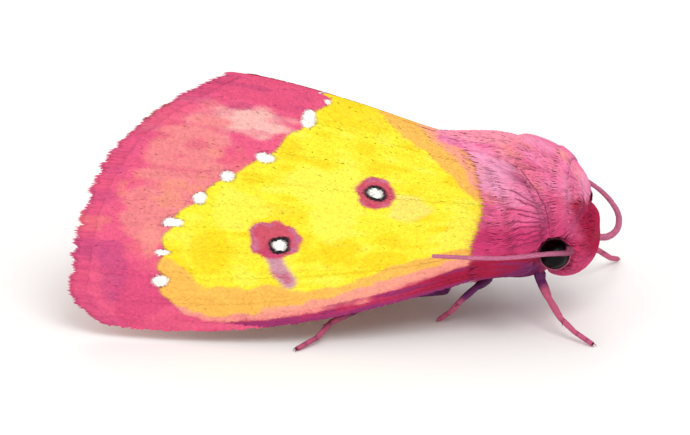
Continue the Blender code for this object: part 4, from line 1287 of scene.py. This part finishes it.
def make_legs(coat_material):
    """The scales of each leg with the claws and spurs, which are bare dark chitin."""
    claw = new_material("claw_chitin", {
        "Base Color": (*linear("claw"), 1), "Roughness": 0.45, "Specular IOR Level": 0.2,
    })[0]

    def leg_colour(s, pink_from):
        rings = sum(bump(place, 0.02, s) for place in LEG_RINGS)
        return layered(
            plain("leg", len(s)), ("leg pink", ease(pink_from, pink_from + 0.1, s)),
            ("leg", np.clip(rings, 0, 1) * 0.5),
        )

    for name, (centres, radii, across) in leg_lines().items():
        limb_coat(
            f"{name}_scales", centres, radii, across, LEG_SCALES,
            lambda s, paths: leg_colour(s, LEG_PINK_FROM[name[:4]]), 0.1,
            coat_material, "leg_scales",
        )
        parts = []
        tip, heading = centres[-1], unit(centres[-1] - centres[-5])
        ankle = centres[3 * BONE_STEPS]
        for sideways in (-across, across):
            hook = np.array([
                tip + heading * ahead + sideways * aside + (0, 0, above) for ahead, aside, above in CLAW_HOOK
            ])
            hook[:, 2] = np.maximum(hook[:, 2], CLAW_CLEARANCE)
            parts.append(tube(spline(hook, 8), np.linspace(*CLAW_RADII, 8), 6, CLAW_ACROSS))
            spur_way = unit(centres[3 * BONE_STEPS + 1] - centres[3 * BONE_STEPS - 2]) + sideways * 0.45
            spur = np.array([ankle + spur_way * reach for reach in SPUR_REACH])
            parts.append(tube(spline(spur, 6), np.linspace(*SPUR_RADII, 6), 6, CLAW_ACROSS))
        mesh = mesh_of(f"{name}_claws", *parts)
        finish(mesh.name, mesh, claw, smooth=True)


def hair(name, paths, normals, width, colours, unwrap, material, slot="body_hair"):
    """A coat of tufts, without those that would cover an eye."""
    clear = clear_of_eyes(paths)
    width = np.broadcast_to(width, len(paths))[clear]
    coat(
        name, tuft_shape(), paths[clear], normals[clear], width, TUFT_THICKNESS,
        colours[clear], unwrap[clear], material, slot,
    )


def grow_hair(name, kind, draw, paths, normals, unwrap, material, slot="body_hair"):
    """Tufts of one kind in the body's colours, each of its own width and shade."""
    _, _, widths, _, shade, _ = HAIR[kind]
    width = draw.uniform(*widths, len(paths))
    hair(name, paths, normals, width, tuft_colours(paths, draw, shade), unwrap, material, slot)


def make_thorax_coat(material):
    """Long flat hair over the dome, then the cape over the wing bases."""
    draw = np.random.default_rng(SEED + 2)
    for side, sign in SIDES.items():
        count, lengths, _, stray, _, lie = HAIR["dome"]
        x, turn = scattered(draw, count, (SHOULDER - 0.1, -0.1), (7.13, np.pi)).T
        turn = turn * sign
        length = draw.uniform(*lengths, count) * (1 - 0.4 * ease(6.3, 7.1, x))
        place = swept(x + 0.1, length)
        turns = straying(turn, draw, stray)
        height = np.array(lie) * draw.uniform(0.85, 1.1, count)[:, None] - 0.02
        normals = dome_normal(place, turns)
        paths = dome_point(place, turns) + normals * height[..., None]
        unwrap = unwrap_round(x, 5, 2.2, turn)
        grow_hair(f"thorax_{side}_hair", "dome", draw, paths, normals, unwrap, material)

        count, lengths, _, stray, _, lie = HAIR["cape"]
        s, t = scattered(draw, count, (0.0, 0.0), (1.0, 1.0)).T
        x = mix(SHOULDER + 0.5, curve(SEAM, t) + 0.25, s)
        place = swept(x + 0.1, draw.uniform(*lengths, count))
        path_t = np.clip(straying(t, draw, stray), 0, 1)
        paths, normals = over_wing(place, path_t, cape_height(place, path_t) + np.array(lie), side)
        unwrap = np.stack((s, t), -1)
        grow_hair(f"cape_{side}_hair", "cape", draw, paths, normals, unwrap, material)


def make_crest(material):
    """Hair from the top of the dome that lies back over the front ends of the wings' ridges."""
    draw = np.random.default_rng(SEED + 7)
    count, lengths, _, stray, _, lie = HAIR["crest"]
    x, turn = scattered(draw, count, (3.2, -1.8), (5.75, 1.8)).T
    place = swept(x, draw.uniform(*lengths, count))
    turns = straying(turn, draw, stray)
    height = np.array(lie) * draw.uniform(0.7, 1.3, count)[:, None]
    half_width, fall = CREST_SIZE
    normals = np.stack((0 * place, np.sin(turns), np.cos(turns)), -1)
    ridge = curve(CREST[::-1], place)
    paths = np.stack((place, half_width * np.sin(turns), ridge - fall * (1 - np.cos(turns))), -1)
    paths = paths + normals * height[..., None]
    grow_hair("crest_hair", "crest", draw, paths, normals, unwrap_round(x, 3, 3, turn), material)


def make_ruffs(material):
    """The collar behind the head, and the flap of hair that fans out over each wing base."""
    draw = np.random.default_rng(SEED + 5)
    for name, rim, signs, longest, raised, fanning in RUFFS:
        count, lengths, widths, stray, shade, lie = HAIR[name]
        for piece, sign in signs.items():
            share = draw.uniform(0, 1, count)
            back = draw.uniform(0, 1, count) ** 1.5
            rows = np.array(rim)
            x = np.interp(share, rows[:, 0], rows[:, 1]) - 0.35 * longest * back
            turn = np.radians(np.interp(share, rows[:, 0], rows[:, 2])) * sign
            place = swept(x, longest * draw.uniform(*lengths, count))
            fan = fanning * (share - 0.7) * sign
            turns = turn[:, None] + (fan + draw.normal(0, stray, count))[:, None] * HAIR_STATIONS
            height = np.array(lie) + raised * np.sin(np.pi * HAIR_STATIONS) - 0.02
            normals = dome_normal(place, turns)
            paths = dome_point(place, turns) + normals * (height + np.zeros_like(place))[..., None]
            # painted shade: tufts rooted at the rim of the collar and of each flap darken towards their
            # roots, a dark line along the rim
            rim_shade = (1 - ease(0.0, 0.2, back))[:, None] * np.array(RIM_SHADE_WEIGHTS)
            tints = layered(tuft_colours(paths, draw, shade), ("hair line", 0.6 * rim_shade))
            hair(
                f"{name}_{piece}_hair", paths, normals, draw.uniform(*widths, count), tints,
                unwrap_round(x, 5, 2.2, turn), material,
            )


def make_strokes(material):
    """Dark tufts laid end to end: the strokes of the flap over each wing base, and painted shade along its
    front edge.
    """
    draw = np.random.default_rng(SEED + 8)

    def laid(start, end, surface):
        """Tufts from start to end, both given as two coordinates of the surface."""
        start, end = np.array(start, float), np.array(end, float)
        first = np.arange(STROKE_PIECES)[:, None] / STROKE_PIECES
        share = first + HAIR_STATIONS * 1.3 / STROKE_PIECES - 0.1 / STROKE_PIECES
        places = start + share[..., None] * (end - start) + draw.normal(0, 0.006, (STROKE_PIECES, 1, 2))
        return surface(places[..., 0], places[..., 1])

    def dome(x, turn, height=STROKE_HEIGHT):
        normals = dome_normal(x, turn)
        return dome_point(x, turn) + normals * height, normals

    def rim_of_dome(x, turn):
        return dome(x, turn, RIM_HEIGHT)

    def base(x, t):
        return roof(x, t, cape_height(x, t) + STROKE_HEIGHT - 0.03), roof_normal(x, t)

    rows = [laid((x, -math.radians(a)), (end, -math.radians(b)), dome) for x, a, end, b in FLAP_STROKES]
    rows += [laid(stroke[:2], stroke[2:], base) for stroke in BASE_STROKES]
    # painted shade: dark tufts along the flap's rim
    rim = [(x, -math.radians(turn)) for _, x, turn in TEGULA_RIM]
    rows += [laid(start, end, rim_of_dome) for start, end in zip(rim[:-1], rim[1:])]
    paths = np.concatenate([row[0] for row in rows])
    normals = np.concatenate([row[1] for row in rows])
    tints = layered(tuft_colours(paths, draw, 0.15), ("hair line", np.full(paths.shape[:2], 0.75)))
    unwrap = unwrap_round(paths[:, 0, 0], 4, 3, 0 * paths[:, 0, 0])
    width = STROKE_WIDTH * draw.uniform(0.7, 1.2, len(paths))
    for side in SIDES:
        hair(
            f"flap_{side}_strokes", on_side(paths, side), on_side(normals, side), width, tints,
            unwrap, material,
        )


def make_head_coat(material):
    """Short hair that runs forwards over the top of the head and down the face."""
    draw = np.random.default_rng(SEED + 3)
    count, lengths, _, stray, _, lie = HAIR["head"]
    lift, turn = scattered(draw, count, (0.1, -np.pi), (2.1, np.pi)).T
    lifts = np.maximum(swept(lift, draw.uniform(*lengths, count)), 0.02)
    turns = straying(turn, draw, stray)
    crown = 0.12 * (1 - ease(0.5, 1.35, np.abs(turns))) * (1 - ease(0.2, 0.65, np.abs(lifts - 0.85)))
    paths, normals = head_point(lifts, turns, np.array(lie) + crown * np.array(CROWN_LIFT))
    unwrap = unwrap_round(lift, 0, 2.2, turn)
    grow_hair("head_hair", "head", draw, paths, normals, unwrap, material, "head_hair")

    count, (length, _), *_ = HAIR["brow"]
    across, drop = scattered(draw, count, (-0.8, -0.03), (0.8, 1.0)).T
    front = THORAX_RINGS[-1]
    root = np.stack((front[0] - 0.06 + 0 * across, front[1] * across, mix(front[2], front[3], drop)), -1)
    way = unit(np.stack((0.15 + 0 * across, 0.35 * across, -1 + 0 * across), -1))
    paths = root[:, None] + way[:, None] * (length * HAIR_STATIONS)[:, None]
    paths[..., 0] += BROW_BULGE * np.sin(np.pi * HAIR_STATIONS)
    normals = np.broadcast_to((1.0, 0.0, 0.2), paths.shape)
    unwrap = np.stack((0.5 + 0.3 * across, drop), -1)
    grow_hair("brow_hair", "brow", draw, paths, normals, unwrap, material, "head_hair")
    for side, sign in SIDES.items():
        palp, radii = palp_line(sign, 20)
        limb_coat(
            f"palp_{side}_scales", palp, radii, (0, 1, 0), PALP_SCALES,
            lambda s, paths: body_markings(paths[:, 1]), 0.0, material, "head_hair",
        )


def make_eyes(material, rim_material):
    """The two corneas, each with a ring of tiny pale scales round it."""
    for side, sign in SIDES.items():
        cornea = ball(Vector(EYE_CENTRE) * Vector((1, sign, 1)), EYE_RADIUS, 48, 32)
        mesh = mesh_of(f"eye_{side}_cornea", cornea)
        eye = finish(mesh.name, mesh, material, smooth=True)
        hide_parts(f"eye_{side}")

        draw = np.random.default_rng(SEED + 6)
        turn = np.linspace(0, 2 * np.pi, EYE_RIM_SCALES, endpoint=False)
        facing = unit(np.array(EYE_FACING))
        across = unit(np.cross(facing, (0.0, 0.0, 1.0)))
        over = np.cross(across, facing)
        turns = turn[:, None] + np.zeros(len(HAIR_STATIONS))
        outward = np.cos(turns)[..., None] * across + np.sin(turns)[..., None] * over
        reach = EYE_RADIUS + np.array(EYE_RIM_SPREAD) * draw.uniform(0.7, 1.2, (len(turn), 1))
        paths = np.array(EYE_CENTRE) + outward * reach[..., None] + facing * np.array(EYE_RIM_LIE)[:, None]
        normals = np.broadcast_to(facing, paths.shape)
        mirror = (1, sign, 1)
        coat(
            f"eye_{side}_rim_scales", tuft_shape(), paths * mirror, normals * mirror, *EYE_RIM_SCALE,
            varied(plain("rim", len(turn)), draw, 0.2),
            np.stack((turn / (2 * np.pi), 0 * turn + 0.5), -1), rim_material, "head_hair",
        )


def make_antennae(material):
    """Thread-like feelers, thick at the root, with a short swelling for each of their joints."""
    count = ANTENNA_JOINTS * 4 + 1
    for side, points in ANTENNA_POINTS.items():
        centres = spline(points, count)
        share = np.linspace(0, 1, count)
        radii = mix(ANTENNA_RADIUS[side], ANTENNA_TIP_RADIUS, ease(0.25, 1.0, share))
        radii = radii * (0.84 + 0.12 * np.sin(2 * np.pi * share * ANTENNA_JOINTS))
        radii = radii + ANTENNA_ROOT_SWELL * (1 - ease(0.05, 0.1, share))
        across = np.array((0.3, 0.0, 1.0))
        mesh = mesh_of(f"antenna_{side}_stem", tube(centres, radii, 10, across))
        paint(mesh, plain("feeler", len(mesh.vertices)) * 0.85)
        stem = finish(mesh.name, mesh, material, smooth=True)
        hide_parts(f"antenna_{side}")
        limb_coat(
            f"antenna_{side}_scales", centres, radii, across, ANTENNA_SCALES,
            lambda s, paths: plain("feeler", len(s)), 0.0, material, "feeler",
        )


def make_abdomen_coat(material):
    """Scales in the lie of the body with a deeper pink band at the rear of each segment, and the tail tuft.
    """
    draw = np.random.default_rng(SEED + 4)
    x, turn = scattered(draw, ABDOMEN_SCALES, (ABDOMEN_REAR, -np.pi), (2.9, np.pi)).T
    length, width, thickness = ABDOMEN_SCALE
    place = swept(x + 0.1, length, SCALE_STATIONS)
    turns = np.broadcast_to(turn[:, None], place.shape)
    paths, normals = abdomen_point(place, turns, np.array(ABDOMEN_SCALE_LIE) + np.zeros_like(place))
    segment = (ABDOMEN_FRONT - ABDOMEN_REAR) / ABDOMEN_SEGMENTS
    band = ease(0.7, 0.9, ((ABDOMEN_FRONT - x) / segment) % 1.0)
    colours = layered(plain("abdomen", len(x)), ("abdomen ring", 0.8 * band))
    coat(
        "abdomen_scales", scale_shape(), paths, normals, width, thickness,
        varied(colours, draw, 0.1), unwrap_round(x, -4.6, 8, turn), material, "abdomen_scales",
    )

    turn = draw.uniform(-np.pi, np.pi, TAIL_TUFTS)
    start = draw.uniform(-4.4, -3.7, TAIL_TUFTS)
    place = swept(start, draw.uniform(0.6, 0.95, TAIL_TUFTS))
    outward = np.stack((0 * turn, np.sin(turn), np.cos(turn)), -1)[:, None]
    spread = np.interp(place, *TAIL_SPREAD) * np.sqrt(draw.uniform(0.0, 1.0, TAIL_TUFTS))[:, None]
    centre = np.stack((place, 0 * place, curve(ABDOMEN_HEIGHT, place)), -1)
    paths = centre + outward * spread[..., None]
    normals = np.broadcast_to(outward, paths.shape)
    colours = layered(plain("abdomen", TAIL_TUFTS), ("abdomen ring", np.full(TAIL_TUFTS, 0.4)))
    coat(
        "tail_hair", tuft_shape(), paths, normals, *TAIL_TUFT, varied(colours, draw, 0.15),
        unwrap_round(place[:, 0], -5.2, 2, turn), material, "abdomen_scales",
    )


# Studio

def add_light(name, place, size, energy):
    light = bpy.data.lights.new(name, "AREA")
    light.size = size * MM
    light.energy = energy
    obj = new_object(name, light)
    obj.location = Vector(place) * MM
    way = Vector(LIGHT_AIM) * MM - obj.location
    obj.rotation_euler = way.to_track_quat("-Z", "Y").to_euler()


def make_studio():
    """A pale floor that fills the view, a large soft key light, a fill and a pale sky."""
    bm = grid(1, 1, FLOOR_HALF_SIZE)
    mesh = mesh_of("floor", bm)
    paper = new_material("floor_paper", {"Base Color": (*linear("floor"), 1), "Roughness": 0.9})[0]
    mesh.materials.append(paper)
    new_object("floor", mesh)
    world = bpy.data.worlds.new("studio")
    bpy.context.scene.world = world
    world.use_nodes = True
    sky = world.node_tree.nodes["Background"]
    sky.inputs["Color"].default_value = (1.0, 1.0, 1.0, 1)
    sky.inputs["Strength"].default_value = 0.7
    for light in LIGHTS:
        add_light(*light)
    bpy.context.scene.view_settings.view_transform = "Standard"


def make_camera():
    right = Vector((math.cos(CAMERA_TURN), math.sin(CAMERA_TURN), 0))
    back = Vector((
        math.sin(CAMERA_TURN) * math.cos(CAMERA_TILT),
        -math.cos(CAMERA_TURN) * math.cos(CAMERA_TILT),
        math.sin(CAMERA_TILT),
    ))
    up = back.cross(right)
    camera = bpy.data.cameras.new("camera")
    camera.sensor_width = SENSOR
    camera.lens = SENSOR * CAMERA_DISTANCE / (PICTURE_WIDTH / PIXELS_PER_MM)
    camera.clip_start = 0.01
    camera.clip_end = 10
    obj = new_object("camera", camera)
    aim = right * CAMERA_AIM[0] + up * CAMERA_AIM[1] + back * (CAMERA_AIM[2] + CAMERA_DISTANCE)
    obj.location = PLACE @ aim
    obj.rotation_euler = back.to_track_quat("Z", "Y").to_euler()
    bpy.context.scene.camera = obj


def main():
    for obj in list(bpy.data.objects):
        bpy.data.objects.remove(obj)
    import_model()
    make_camera()
    make_studio()
    wing = scale_material("chitin_wing_scales", 0.65, 0.04, 0.12)
    downy = scale_material("chitin_hair", 0.7, 0.1, 0.2)
    for side in SIDES:
        make_forewing(side, wing)
        make_hindwing(side, wing)
    make_body(downy)
    make_thorax_coat(downy)
    make_crest(downy)
    make_ruffs(downy)
    make_strokes(downy)
    make_head_coat(downy)
    make_abdomen_coat(wing)
    make_legs(wing)
    make_antennae(wing)
    make_eyes(eye_material(), downy)


main()
